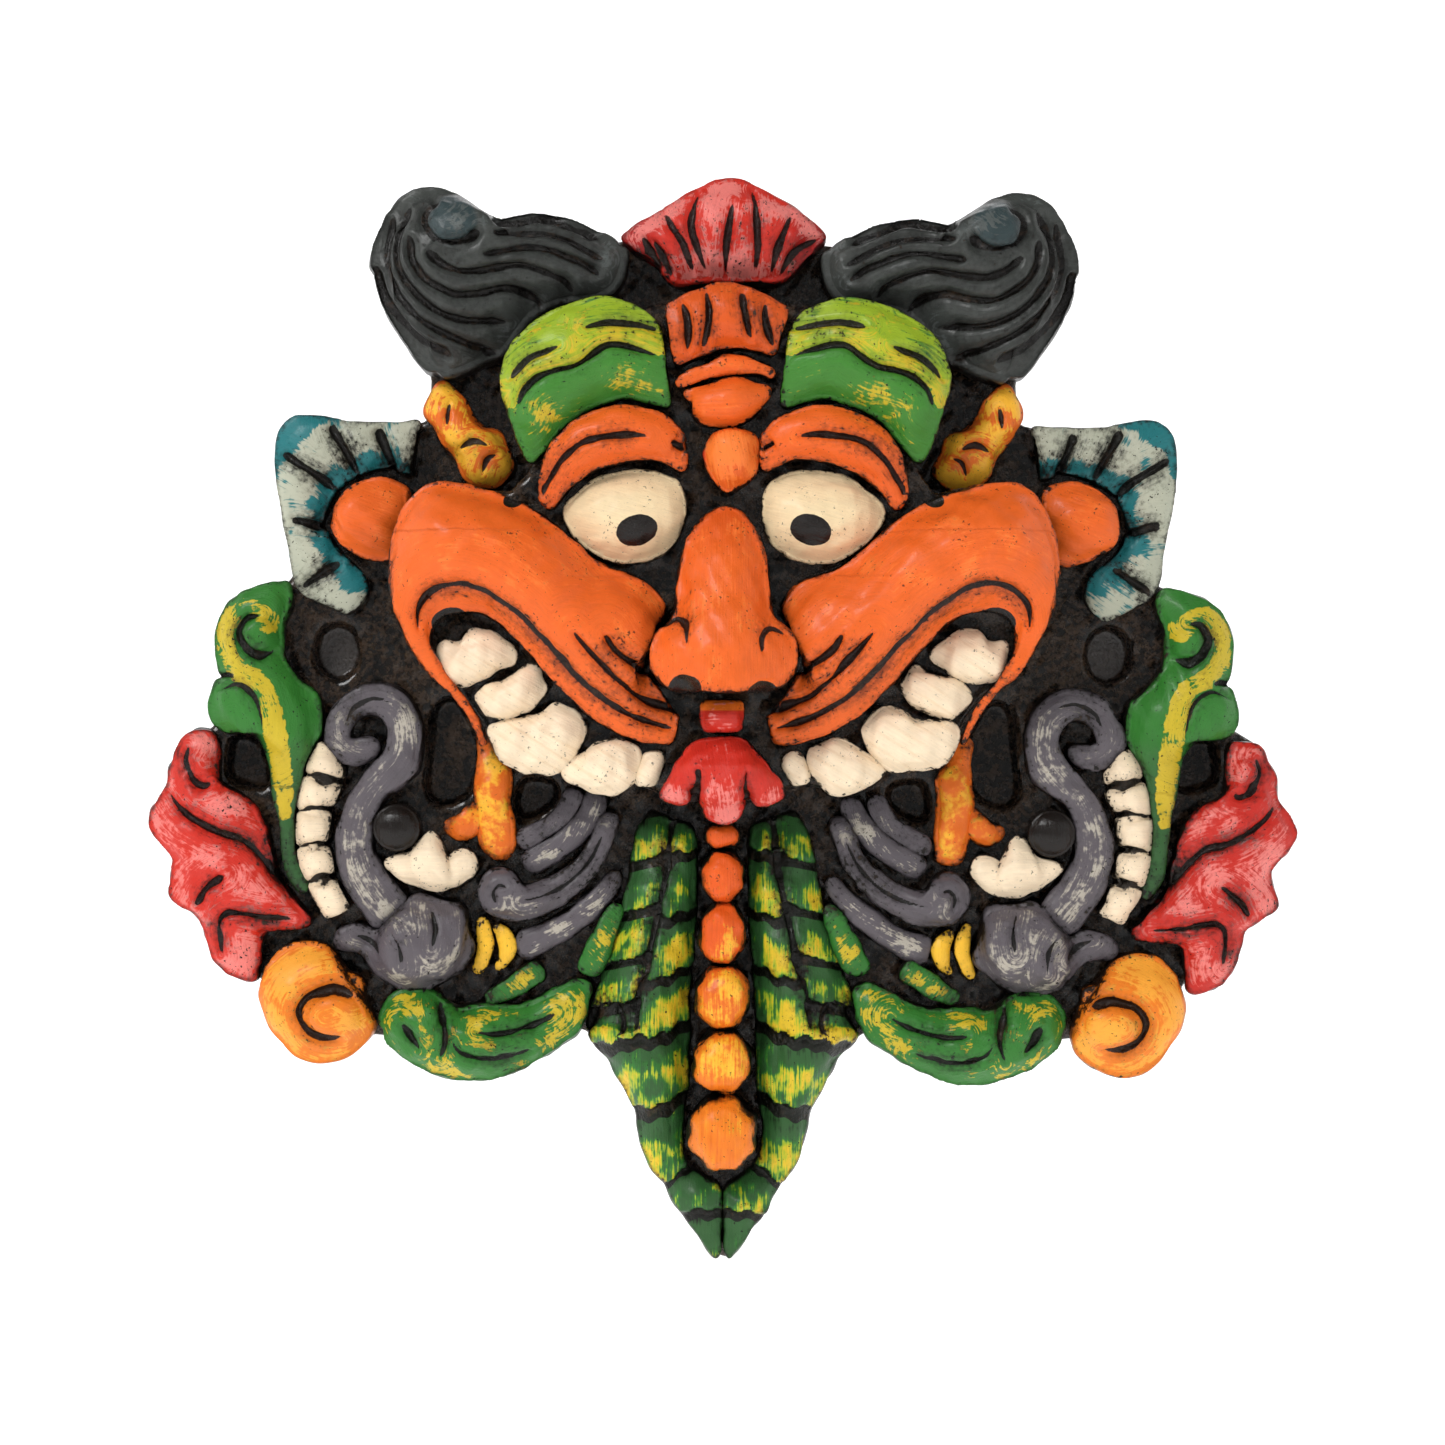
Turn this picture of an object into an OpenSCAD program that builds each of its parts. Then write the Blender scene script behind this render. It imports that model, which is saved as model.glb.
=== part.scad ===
// Carved and painted wall mask: a monster face between two elephant-headed beasts,
// built up from separate carvings that are glued on a back panel with deep pockets.
// x runs across the face, z up, and the back panel lies flat on the plane y = 0.

/* [Overall] */
// Width over the two red leaves
mask_w = 288; // [220:1:360]
// Height from the crest to the tip of the tail
mask_h = 271; // [210:1:340]

/* [Backing] */
// Thickness of the back panel
panel_t = 10; // [8:0.5:16]
// Wood left behind the deep pockets in the panel
pocket_floor = 2.5; // [1.5:0.5:5]
// How far the panel's edge stays inside the edge of the carvings
panel_inset = 1.5; // [0.5:0.1:2.5]
// Thickness of the block behind the face
core_t = 16; // [10:0.5:30]
// Width of the dark groove left between neighbouring carvings
groove = 0.9; // [0.6:0.1:1.6]

/* [Relief of the face] */
// Cheeks: height of the edge and of the crown above it
cheek_relief = [6, 19]; // [2:0.5:30]
// Nose: height of the edge and of the crown above it
nose_relief = [7, 13]; // [2:0.5:30]
// How much higher the nose stands at its tip than at its root
nose_rise = 17; // [5:0.5:25]
// Brows: height of the edge and of the crown
brow_relief = [7, 8]; // [2:0.5:20]
// Eyelids: height of the edge and of the crown
lid_relief = [9, 8]; // [2:0.5:20]
// Eyeballs: height of the edge and of the crown
eye_relief = [5, 9]; // [2:0.5:20]
// Teeth: height of the edge and of the crown
teeth_relief = [5, 5]; // [2:0.5:15]
// Forehead blocks and jewel: height of the edge and of the crown
forehead_relief = [8, 6]; // [2:0.5:20]
// Tongue and upper lip: height of the edge and of the crown
tongue_relief = [8, 8]; // [2:0.5:20]

/* [Relief around the face] */
// Hair locks: height of the edge and of the crown
hair_relief = [12, 14]; // [4:0.5:25]
// Crest: height of the edge and of the crown
crest_relief = [12, 8]; // [4:0.5:25]
// Ear lobes: height of the edge and of the crown
ear_relief = [10, 7]; // [2:0.5:15]
// Fans behind the ears: height of the edge and of the crown
fan_relief = [6, 4]; // [2:0.5:12]
// Leaves and flames: height of the edge and of the crown
leaf_relief = [8, 7]; // [2:0.5:14]
// Scrolls along the foot: height of the edge and of the crown
scroll_relief = [8, 9]; // [2:0.5:14]
// Elephant trunks and heads: height of the edge and of the crown
trunk_relief = [8, 9]; // [2:0.5:14]
// Elephant jaws, gums and collars: height of the edge and of the crown
jaw_relief = [6, 7]; // [2:0.5:14]
// Ivory teeth of the beasts: height of the edge and of the crown
ivory_relief = [8, 5]; // [2:0.5:14]
// Halves of the tail: height of the edge and of the crown
tail_relief = [8, 10]; // [4:0.5:14]
// Beads down the tail: height of the edge and of the crown
bead_relief = [14, 8]; // [4:0.5:20]
// Radius of the beasts' eyes
beast_eye_r = 5.6; // [3:0.1:6.5]
// Number of ivory blocks in each beast's neck
ivory_blocks = 5; // [3:1:7]

/* [Dowels] */
// Radius of the glued dowels that hold the face block
dowel_r = 4; // [2:0.25:5]
// Length of a dowel
dowel_l = 18; // [12:0.5:22]
// Clearance round a dowel and past its ends
dowel_play = 0.1; // [0.05:0.05:0.3]

/* [Hanger] */
// Height of the hanger's pivot above the middle of the mask
pivot_z = 84; // [75:1:92]
// Radius of the ring's wire
wire_r = 1.1; // [0.8:0.05:1.4]
// Radius of the ring, to the middle of the wire
ring_r = 11; // [9:0.5:13]
// Radial clearance of the wire in the strap's eye
wire_play = 0.08; // [0.05:0.01:0.1]
// Thickness of the strap's metal
strap_t = 1.2; // [0.8:0.1:1.4]
// Width of the strap
strap_w = 12; // [8:0.5:14]
// Length of the strap below the pivot
strap_l = 20; // [19:0.5:24]
// Radius of the screws' shanks
screw_r = 1.3; // [1:0.1:1.5]
// Radius of the screws' heads
screw_head_r = 2.5; // [2:0.1:2.6]
// Height of the screws' heads
screw_head_h = 1; // [0.6:0.1:1.2]

/* [Hidden] */
LEFT = -1;
RIGHT = 1;
SIDES = ["left", "right"];
PAIRS = ["hair", "brow", "eyelid", "eye", "cheek", "teeth", "ear", "ear_fan", "flame", "leaf_green",
         "leaf_red", "scroll_orange", "scroll_green", "filler_leaves", "trunk", "beast_head", "ivory",
         "lower_jaw", "gums", "collar", "mouth_flame", "tail"];
SINGLES = ["back_panel", "face_core", "crest", "forehead_top", "forehead_ridges", "jewel", "nose",
           "upper_lip", "tongue", "beast_eyes", "tail_beads", "dowels", "hanger_strap",
           "hanger_screws", "hanger_ring"];

// The outlines below are drawn for a mask of this width and height.
drawn_w = 288;
drawn_h = 271;
scale_x = mask_w / drawn_w;
scale_z = mask_h / drawn_h;
face_t = panel_t + core_t;
arch_points = 5;    // points over the crown of a carving
end_rounding = 0.5; // how quickly a crown rises from its two ends
steepest = 0.5;     // a crown is no higher than this share of the carving's width
$fn = 40;

// ---------- curves ----------

function spline_point(p0, p1, p2, p3, t) =
    (2 * p1 + (p2 - p0) * t + (2 * p0 - 5 * p1 + 4 * p2 - p3) * t * t
     + (3 * p1 - p0 - 3 * p2 + p3) * t * t * t) / 2;

// A smooth open curve through the points, with a few more between each two
function smooth(pts, per = 4) = let (last = len(pts) - 1)
    [for (i = [0 : last - 1]) for (k = [0 : per - 1])
        spline_point(pts[max(i - 1, 0)], pts[i], pts[i + 1], pts[min(i + 2, last)], k / per),
     pts[last]];

// A smooth closed curve through the points
function smooth_loop(pts, per = 3) = let (n = len(pts))
    [for (i = [0 : n - 1]) for (k = [0 : per - 1])
        spline_point(pts[(i + n - 1) % n], pts[i], pts[(i + 1) % n], pts[(i + 2) % n], k / per)];

function lengths(p) =
    [for (i = 0, s = 0; i < len(p); i = i + 1, s = i < len(p) ? s + norm(p[i] - p[i - 1]) : s) s];

function at_length(p, run, s, i = 0) =
    i >= len(p) - 2 || run[i + 1] >= s
        ? p[i] + (p[i + 1] - p[i]) * (s - run[i]) / max(run[i + 1] - run[i], 0.0001)
        : at_length(p, run, s, i + 1);

// n + 1 points spread evenly along a curve, from one share of its length to another
function even(p, n, from = 0, to = 1) = let (run = lengths(p), all = run[len(run) - 1])
    [for (j = [0 : n]) at_length(p, run, all * (from + (to - from) * j / n))];

function backwards(p) = [for (i = [len(p) - 1 : -1 : 0]) p[i]];

function area(p) = let (n = len(p))
    [for (i = [0 : n - 1]) cross(p[i], p[(i + 1) % n])] * [for (i = [0 : n - 1]) 0.5];

// A drawn outline at the mask's size, on its side, with the drift of a hand-carved right side
function placed(pts, side, drift = [0, 0]) =
    [for (p = pts) side == LEFT ? [p.x * scale_x, p.y * scale_z]
                                : [(drift.x - p.x) * scale_x, (drift.y + p.y) * scale_z]];

// ---------- carvings ----------

// Draws its children in the plane of the face, with height towards the viewer, from a depth on
module on_face(depth = 0) translate([0, -depth, 0]) rotate([90, 0, 0]) children();

// A carving lies between two rails. Each cross-section has two straight edges and an arched
// crown, and the crown runs down to the edges at both ends.
module loft(a, b, relief, rise) {
    n = len(a) - 1;
    m = arch_points + 3;
    sections = [for (j = [0 : n])
        let (across = b[j] - a[j],
             width = norm(across),
             pull = min(groove / 2, width / 4) / width,
             p = a[j] + across * pull,
             q = b[j] - across * pull,
             edge = relief[0] + rise * j / n,
             run = pow(sin(180 * (j + 0.4) / (n + 0.8)), end_rounding),
             crown = min(relief[1], width * steepest) * run)
        concat([[p.x, p.y, 0]],
               [for (k = [0 : arch_points])
                   let (u = k / arch_points, c = p + (q - p) * u)
                   [c.x, c.y, edge + crown * pow(sin(180 * u), 0.75)]],
               [[q.x, q.y, 0]])];
    ring = len(sections[0]);
    walls = [for (j = [0 : n - 1]) for (k = [0 : ring - 1])
        let (c = j * ring + k, d = j * ring + (k + 1) % ring) each
        [[c, c + ring, d + ring], [c, d + ring, d]]];
    ends = [[for (k = [0 : ring - 1]) k], [for (k = [ring - 1 : -1 : 0]) n * ring + k]];
    faces = concat(walls, ends);
    turned = area(concat(a, backwards(b))) > 0;
    polyhedron([for (s = sections) each s],
               turned ? faces : [for (f = faces) backwards(f)], convexity = 6);
}

// Rails with as many points as each other are joined point to point. Others are spread evenly.
module carving(rail_a, rail_b, relief, side = LEFT, drift = [0, 0], steps = 20, rise = 0, per = 2) {
    a = placed(rail_a, side, drift);
    b = placed(rail_b, side, drift);
    if (len(a) == len(b)) loft(smooth(a, per), smooth(b, per), relief, rise);
    else loft(even(smooth(a), steps), even(smooth(b), steps), relief, rise);
}

// A rail pair cut into equal blocks with a groove between them
module blocks(rail_a, rail_b, relief, side, drift, count, steps) {
    a = smooth(placed(rail_a, side, drift));
    b = smooth(placed(rail_b, side, drift));
    half_slot = groove / 30;
    for (k = [0 : count - 1]) {
        from = (k + half_slot) / count;
        to = (k + 1 - half_slot) / count;
        loft(even(a, steps, from, to), even(b, steps, from, to), relief, 0);
    }
}

// ---------- backing ----------

// Left half of the mask's silhouette, from the crest down to the tip of the tail
silhouette = [
    [0, 135.5], [-5.8, 133.5], [-15.3, 128.1], [-23.8, 122.7], [-29, 122], [-35.6, 125.4],
    [-45.3, 127.9], [-55.1, 126.3], [-59, 126.3], [-65.5, 131.3], [-73.5, 133.6], [-80.7, 130.8],
    [-86.6, 122.1], [-88.2, 112.4], [-85.1, 102.6], [-77.6, 91.8], [-74.5, 87], [-75, 77],
    [-82.2, 75.4], [-93.5, 75.6], [-106.3, 77.5], [-111.4, 73.3], [-112.2, 67.2], [-110.9, 54.4],
    [-108.3, 40], [-110, 36.2], [-117.3, 34.1], [-124.5, 29.7], [-127.4, 22.5], [-126.3, 12.5],
    [-128.7, 5.1], [-128.8, 0], [-135.7, -4.2], [-139.1, -11.3], [-139.1, -16.2], [-143.8, -24.7],
    [-142.9, -27.7], [-137.5, -33.9], [-139.4, -42.3], [-135.2, -45.9], [-131.1, -49],
    [-129.1, -56.7], [-125, -62.6], [-116.8, -65.4], [-115, -71.5], [-110.6, -80.8],
    [-102.4, -85.4], [-94.7, -84.4], [-88.5, -79.7], [-85, -80], [-76.2, -86.4], [-62.8, -89.9],
    [-50, -86.9], [-42.3, -82.3], [-35.6, -78.2], [-29, -83.6], [-25.1, -91.3], [-21.8, -100],
    [-19.5, -109.7], [-14.9, -115.6], [-9.7, -125.1], [-1.2, -135.5]];

// The deep pockets sunk in each side of the panel
side_pockets = [
    [[-97.5, 26], [-92.6, 23.5], [-91, 18], [-92.6, 12.5], [-97.5, 10], [-102.4, 12.5], [-104, 18],
     [-102.4, 23.5]],
    [[-125, -3.6], [-121.9, -2.6], [-118.3, -3.1], [-115.7, -6], [-114.2, -10.8], [-114, -16.5],
     [-119.3, -17], [-125, -14.9], [-126, -10.8]],
    [[-69.2, 7], [-66.2, 5.8], [-63.6, 1.7], [-61.2, -4], [-61, -10.1], [-62, -15.3], [-64.6, -19.4],
     [-69.2, -21.4], [-73.8, -20.9], [-75.8, -16.3], [-75.2, -10.1], [-75, -4], [-74.6, 1.7],
     [-72.3, 5.8]],
    [[-51.5, -14], [-48.7, -13.2], [-43.6, -13.6], [-41.2, -15.8], [-40.8, -18.8], [-43.4, -21.8],
     [-46.7, -24.2], [-50.6, -25], [-52.5, -23.4], [-53.2, -19.4]]];

module back_panel() color([0.16, 0.13, 0.11]) difference() {
    on_face() linear_extrude(panel_t) offset(delta = -panel_inset)
        polygon(concat(placed(silhouette, LEFT), backwards(placed(silhouette, RIGHT, [0.5, -1]))));
    for (side = [LEFT, RIGHT]) for (pocket = side_pockets)
        on_face(pocket_floor) linear_extrude(panel_t)
            polygon(smooth_loop(placed(pocket, side, side == RIGHT ? [0, -1] : [0, 0]), 2));
    dowel_holes();
    hanger_recess();
}

// Left half of the block behind the face
core_half = [
    [0, 105], [-13, 103], [-26, 103], [-42, 99], [-50.5, 90], [-52, 84], [-49, 75], [-46.5, 64.5],
    [-52, 56.5], [-66, 57.5], [-74.5, 55], [-78, 49], [-79, 38], [-77, 26], [-70.5, 13.5],
    [-63, 5.5], [-58.5, -2], [-55.5, -8], [-50, -10.6], [-43, -11.4], [-38, -12], [-33, -15],
    [-28, -16], [-22, -14], [-12, -17.5], [-6, -18.5], [0, -22]];

module face_core() color([0.18, 0.14, 0.12]) difference() {
    on_face(panel_t) linear_extrude(core_t)
        polygon(concat(placed(core_half, LEFT), backwards(placed(core_half, RIGHT, [0, 0]))));
    dowel_holes();
}

dowel_spots = [[-31, 22], [31, 22], [-34, 84], [34, 84], [0, -7]];
dowel_depth = panel_t - dowel_l / 2;

module at_dowels() for (p = dowel_spots)
    on_face(dowel_depth) translate([p.x * scale_x, p.y * scale_z, 0]) children();

module dowel_holes() at_dowels()
    translate([0, 0, -dowel_play]) cylinder(r = dowel_r + dowel_play, h = dowel_l + 2 * dowel_play);

module dowels() color([0.75, 0.6, 0.4]) at_dowels() cylinder(r = dowel_r, h = dowel_l);

// ---------- hanger ----------

eye_r = wire_r + wire_play + strap_t;           // outside of the strap's rolled eye
recess_depth = 2 * eye_r + 0.4;
eye_y = eye_r - recess_depth;                   // the eye's middle, just behind the panel's back
pivot_gap = 3.5;                                // room round the ring in the recess
screw_drops = [(eye_r + ring_r) / 2, (ring_r + strap_l) / 2 + 0.5]; // below the pivot
screw_l = panel_t - recess_depth - 0.6;
pilot_play = 0.05;

module hanger_recess() {
    w = 2 * (ring_r + pivot_gap);
    top = pivot_z + ring_r + pivot_gap;
    bottom = pivot_z - strap_l - pivot_gap;
    translate([-w / 2, -recess_depth, bottom]) cube([w, recess_depth + 1, top - bottom]);
    for (drop = screw_drops)
        on_face(recess_depth - 1) translate([0, pivot_z - drop, 0])
            cylinder(r = screw_r + pilot_play, h = screw_l + 1.3);
}

module hanger_strap() color([0.72, 0.6, 0.32]) difference() {
    union() {
        translate([-strap_w / 2, -recess_depth, pivot_z - strap_l]) cube([strap_w, strap_t, strap_l]);
        translate([-strap_w / 2, eye_y, pivot_z]) rotate([0, 90, 0]) cylinder(r = eye_r, h = strap_w);
    }
    translate([-strap_w / 2 - 1, eye_y, pivot_z]) rotate([0, 90, 0])
        cylinder(r = wire_r + wire_play, h = strap_w + 2);
    for (drop = screw_drops)
        on_face(0) translate([0, pivot_z - drop, 0])
            cylinder(r = screw_r + pilot_play, h = recess_depth + 1);
}

module hanger_screws() color([0.75, 0.63, 0.35]) for (drop = screw_drops)
    translate([0, -recess_depth + strap_t, pivot_z - drop]) {
        rotate([90, 0, 0]) cylinder(r = screw_r, h = strap_t + screw_l);
        rotate([-90, 0, 0]) rotate_extrude() polygon([
            [0, 0], [screw_head_r, 0], [screw_head_r, screw_head_h * 0.45],
            [screw_head_r * 0.6, screw_head_h * 0.9], [0, screw_head_h]]);
    }

module hanger_ring() color([0.78, 0.66, 0.38]) translate([0, eye_y, pivot_z]) {
    translate([-ring_r, 0, 0]) rotate([0, 90, 0]) cylinder(r = wire_r, h = 2 * ring_r);
    rotate([90, 0, 0]) rotate([0, 0, 180]) rotate_extrude(angle = 180)
        translate([ring_r, 0]) circle(r = wire_r);
    for (x = [-ring_r, ring_r]) translate([x, 0, 0]) sphere(r = wire_r);
}

// ---------- middle of the face ----------

module crest() color([0.84, 0.2, 0.14]) on_face(panel_t) carving(
    [[-25.6, 121.2], [-20, 125.2], [-15.3, 128.1], [-5.8, 133.5], [0, 135.5], [5.8, 134.8],
     [15.7, 129.5], [20.2, 126.5], [26, 121.4]],
    [[-21, 118], [-17, 114.5], [-13, 111], [-9.9, 109.5], [-3.6, 110.4], [6.7, 110.2],
     [14.3, 110.4], [18, 113], [22, 117.6]],
    crest_relief);

module forehead_top() color([0.94, 0.42, 0.14]) on_face(face_t) carving(
    [[-13.5, 103], [-8.1, 105.6], [-4, 107.5], [0, 108.6], [4, 107.7], [8.1, 106.2], [16, 102.2]],
    [[-11.2, 88.2], [-5.8, 90.6], [-0.9, 92.2], [4, 92.6], [9, 92], [12.4, 91]],
    forehead_relief, steps = 12);

module forehead_ridges() color([0.94, 0.42, 0.14]) on_face(face_t) {
    carving([[-11, 84.2], [-8.1, 86.6], [-2.7, 88.4], [0.9, 90.2], [5.4, 90], [9.9, 88.4], [12.4, 86.6]],
            [[-10.6, 82.9], [-6.3, 84.4], [-0.9, 85.7], [3.6, 86.4], [9.9, 86.2], [12, 85.6]],
            forehead_relief, steps = 10);
    carving([[-9.6, 81.4], [-7.2, 82.1], [-2.7, 83.2], [0.9, 84.6], [4.5, 84.6], [8.1, 83.5], [11.4, 82.4]],
            [[-8, 80], [-6.3, 78], [-7, 75.6], [-4.5, 73.8], [0.9, 73.2], [5.4, 74.2], [8.1, 76.5],
             [10, 79.6]],
            forehead_relief, steps = 10);
}

module jewel() color([0.92, 0.4, 0.16]) on_face(face_t) carving(
    [[1.4, 72], [-2.6, 70.8], [-4.3, 66], [-2.2, 60.3], [0.8, 57.2]],
    [[3, 72], [7.4, 70.8], [8.6, 67.5], [7.9, 61.5], [2, 57.2]],
    forehead_relief);

module nose() color([0.94, 0.42, 0.14]) on_face(face_t) carving(
    [[-0.8, 53.2], [-4.4, 50.2], [-8.2, 46.2], [-10.2, 40.4], [-11.3, 34.7], [-11.5, 28.9],
     [-13.2, 24.9], [-16.6, 21.8], [-18, 16.9], [-16.6, 11.6], [-12, 8.2], [-6, 8.4], [-1, 7.6]],
    [[1.8, 53.2], [5, 51.6], [8, 47.4], [10.4, 41.8], [11.4, 35], [11.6, 29.4], [13.2, 24.9],
     [17, 22], [18.6, 17.6], [17.4, 12], [12.6, 8.2], [6.6, 8.4], [2, 7.6]],
    nose_relief, rise = nose_rise);

module upper_lip() color([0.8, 0.15, 0.1]) on_face(face_t) carving(
    [[-5.2, 5], [-5.4, 1.5], [-4.6, -1.8]], [[5.4, 5], [5.4, 1.5], [4.8, -1.8]], tongue_relief, per = 3);

module tongue() color([0.86, 0.25, 0.22]) on_face(face_t) carving(
    [[-15.2, -17.6], [-13, -13.5], [-10.2, -8.6], [-7.3, -5], [-1.6, -3.8], [4.8, -3.5], [7, -5.5],
     [10.5, -9.5], [14.3, -14.7], [15.2, -17.4]],
    [[-14.4, -18.8], [-11.9, -19.8], [-8.6, -20.6], [-7, -18.4], [-5.2, -21], [-3.4, -24], [-0.4, -25],
     [2.5, -24.4], [4.8, -21.6], [6.4, -19], [8.2, -20.8], [11.5, -20.6], [14.4, -19]],
    tongue_relief, steps = 22);

// ---------- the two sides of the face ----------

module hair(side) color([0.27, 0.28, 0.27]) on_face(panel_t)
    carving([[-27, 120.8], [-30.5, 122.6], [-35.6, 125.4], [-45.3, 127.9], [-55.1, 126.3],
             [-58.7, 126.3], [-65.5, 131.3], [-73.5, 133.6], [-80.7, 130.8], [-86.6, 122.1],
             [-88.2, 112.4], [-85.1, 102.6], [-77.6, 91.8], [-74.2, 87.6]],
            [[-25, 116.6], [-26, 111.4], [-28.5, 107.6], [-33, 106.4], [-38.2, 105.8], [-44, 104.2],
             [-48.4, 101.2], [-51.8, 97.2], [-54.4, 93.4], [-60, 90.6], [-67, 88]],
            hair_relief, side, [side == RIGHT ? 1 : 0, side == RIGHT ? -1.5 : 0], steps = 30);

module brow(side) color([0.35, 0.55, 0.18]) on_face(face_t)
    carving([[-48.2, 65.2], [-50, 69.6], [-51.7, 74.4], [-53, 79], [-54.6, 85.7], [-51.5, 93.9],
             [-43.3, 100.8], [-33, 104.4], [-27.9, 104.7], [-19.2, 101.6], [-15.8, 97]],
            [[-46.6, 64.4], [-43.9, 67.4], [-40.6, 71.6], [-36.8, 75.3], [-32, 78], [-27.9, 79.4],
             [-23.3, 80.4], [-18.2, 79.2], [-13.4, 77.6]],
            brow_relief, side, [side == RIGHT ? 1.5 : 0, 0], steps = 24);

module eyelid(side) color([0.93, 0.42, 0.15]) on_face(face_t)
    carving([[-44.6, 55.6], [-45.2, 58.7], [-43.5, 65.3], [-41.5, 69], [-38.6, 72.3], [-35.3, 74.7],
             [-30.8, 76.6], [-25.9, 77.6], [-21.8, 77.6], [-17.7, 76.6], [-13.6, 74.7], [-9.6, 71]],
            [[-42.2, 52.4], [-39.4, 56.6], [-36.8, 59.2], [-33.3, 61.6], [-29.2, 63.4], [-25.1, 64.6],
             [-21, 65.3], [-16.9, 65.3], [-13.4, 64.3], [-9.4, 61.6]],
            lid_relief, side, [side == RIGHT ? 0.5 : 0, 0], steps = 20);

module eye(side) color([0.96, 0.86, 0.68]) on_face(face_t)
    carving([[-39.2, 52.8], [-37.4, 55], [-32.1, 59.6], [-27.9, 61.4], [-23.8, 62.2], [-19.3, 62.2],
             [-15.2, 61.4], [-11.4, 59.4], [-9.6, 55.5]],
            [[-38.8, 51], [-35.7, 45.2], [-30.4, 41.5], [-27.1, 39.9], [-23.4, 39.4], [-19.7, 39.8],
             [-16.1, 41.1], [-12.2, 44], [-9.7, 50.1]],
            eye_relief, side, [side == RIGHT ? 0.7 : 0, 0]);

module cheek(side) color([0.95, 0.42, 0.14]) on_face(face_t)
    carving([[-10.6, 2.6], [-15.2, 7.4], [-19.2, 13], [-19.4, 18.4], [-17.2, 22.6], [-14, 27],
             [-15, 31.4], [-19.8, 35.4], [-29.5, 38.8], [-37.9, 46], [-44.4, 51.4], [-54, 56],
             [-67.3, 59.5], [-75, 58], [-79.8, 51.3], [-82.4, 41], [-81.7, 30.8], [-78.1, 21],
             [-72.4, 12.3], [-66.3, 7.2], [-61.8, 0], [-59.6, -6]],
            [[-12.7, -5.6], [-22.2, -4.4], [-32.7, 1.4], [-42.1, 10.5], [-52.1, 21.6], [-60.5, 27.2],
             [-69, 26.4], [-72.2, 20.4], [-69.7, 13.2], [-64.6, 6.8], [-60.4, 0], [-58, -5.6]],
            cheek_relief, side, [side == RIGHT ? 0.6 : 0, 0], steps = 40);

tooth_rails = [
    [[[-69, 19], [-65.8, 19], [-63.7, 20], [-61.6, 22.6], [-59, 22.2], [-55.8, 20.4], [-51.4, 16.8]],
     [[-69.4, 16.6], [-69.2, 13.6], [-67.4, 11.4], [-64.8, 10], [-60.5, 10.8], [-56.3, 12.6], [-52.2, 14.6]]],
    [[[-60.4, 6.6], [-57.9, 9], [-53.7, 10.5], [-49.8, 12.2], [-47.6, 13.6], [-46, 11.2], [-44.2, 9.2]],
     [[-59.9, 5.2], [-57.9, 3.1], [-55.8, 1.6], [-52.7, 1.9], [-49.6, 3], [-47.2, 4.4], [-45.2, 6.6]]],
    [[[-56.8, -1.2], [-52.7, 0], [-46.8, 0.4], [-43.2, 2.6], [-41, 4], [-37.8, 2.6], [-34.4, -1.6]],
     [[-57, -3.7], [-55.6, -7.4], [-52.2, -10.4], [-46, -11.8], [-41.6, -11.8], [-38.6, -9.2], [-35.2, -4.6]]],
    [[[-38.8, -11.4], [-36, -9.4], [-33.4, -7.4], [-31.2, -5.4], [-27.6, -4.6], [-25.4, -5.4], [-21.6, -6.6]],
     [[-37.8, -13.2], [-35, -15.4], [-31.6, -16.8], [-28.5, -17], [-25.2, -15.8], [-22.8, -13.4], [-21.4, -9.6]]],
    [[[-18.6, -8], [-19.4, -10.6], [-20.6, -14]],
     [[-15.9, -8.6], [-14.9, -10.6], [-17, -15]]]];

module teeth(side) color([0.96, 0.9, 0.78]) on_face(face_t)
    for (t = tooth_rails) carving(t[0], t[1], teeth_relief, side, [side == RIGHT ? 0.6 : 0, 0]);

module ear(side) color([0.94, 0.45, 0.14]) on_face(panel_t)
    carving([[-96.8, 50], [-96.3, 52.8], [-94.5, 56.9], [-91.4, 59.3], [-87.8, 60.6], [-84.2, 60.6],
             [-79.4, 58.6]],
            [[-96.6, 47.2], [-95, 44.8], [-91.9, 43], [-88.8, 41.6], [-84.8, 40.6], [-81.2, 43],
             [-79.6, 48]],
            ear_relief, side, [side == RIGHT ? 1.6 : 0, side == RIGHT ? -1 : 0]);

module ear_fan(side) color([0.24, 0.55, 0.56]) on_face(panel_t)
    carving([[-76.2, 76.2], [-82.2, 75.4], [-93.5, 75.6], [-100, 76.6], [-107.3, 77.2], [-111.4, 73.3],
             [-112.2, 67.2], [-111.9, 59.5], [-109.9, 49.2], [-108.6, 41], [-107.6, 35.2],
             [-104.5, 31.6], [-98.1, 28.8], [-94.8, 27]],
            [[-77.6, 61.8], [-82.2, 63.2], [-86.3, 63.4], [-90.4, 62.4], [-94.9, 60], [-97.7, 57.2],
             [-99.3, 53.3], [-99.7, 49.4], [-98.6, 46], [-95.8, 42.4], [-93, 40.2], [-90.2, 37.5],
             [-89, 33], [-91, 29.4]],
            fan_relief, side, [side == RIGHT ? 1.8 : 0, side == RIGHT ? -1.5 : 0]);

module flame(side) color([0.95, 0.65, 0.18]) on_face(panel_t)
    carving([[-58, 59.2], [-63.3, 60.8], [-66, 63.8], [-67.2, 67.2], [-69.6, 70], [-71.6, 73.6],
             [-74.4, 77], [-74, 80.6], [-71.8, 84.4]],
            [[-55.6, 60], [-52.4, 63.4], [-53, 66.2], [-54.4, 68.8], [-55.6, 72.2], [-59.4, 73.2],
             [-62.8, 75.9], [-64.6, 80.8], [-69.6, 85.2]],
            leaf_relief, side, [side == RIGHT ? 1 : 0, side == RIGHT ? -1 : 0]);

// ---------- leaves and scrolls ----------

leaf_drift = [0.8, -2];

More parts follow.
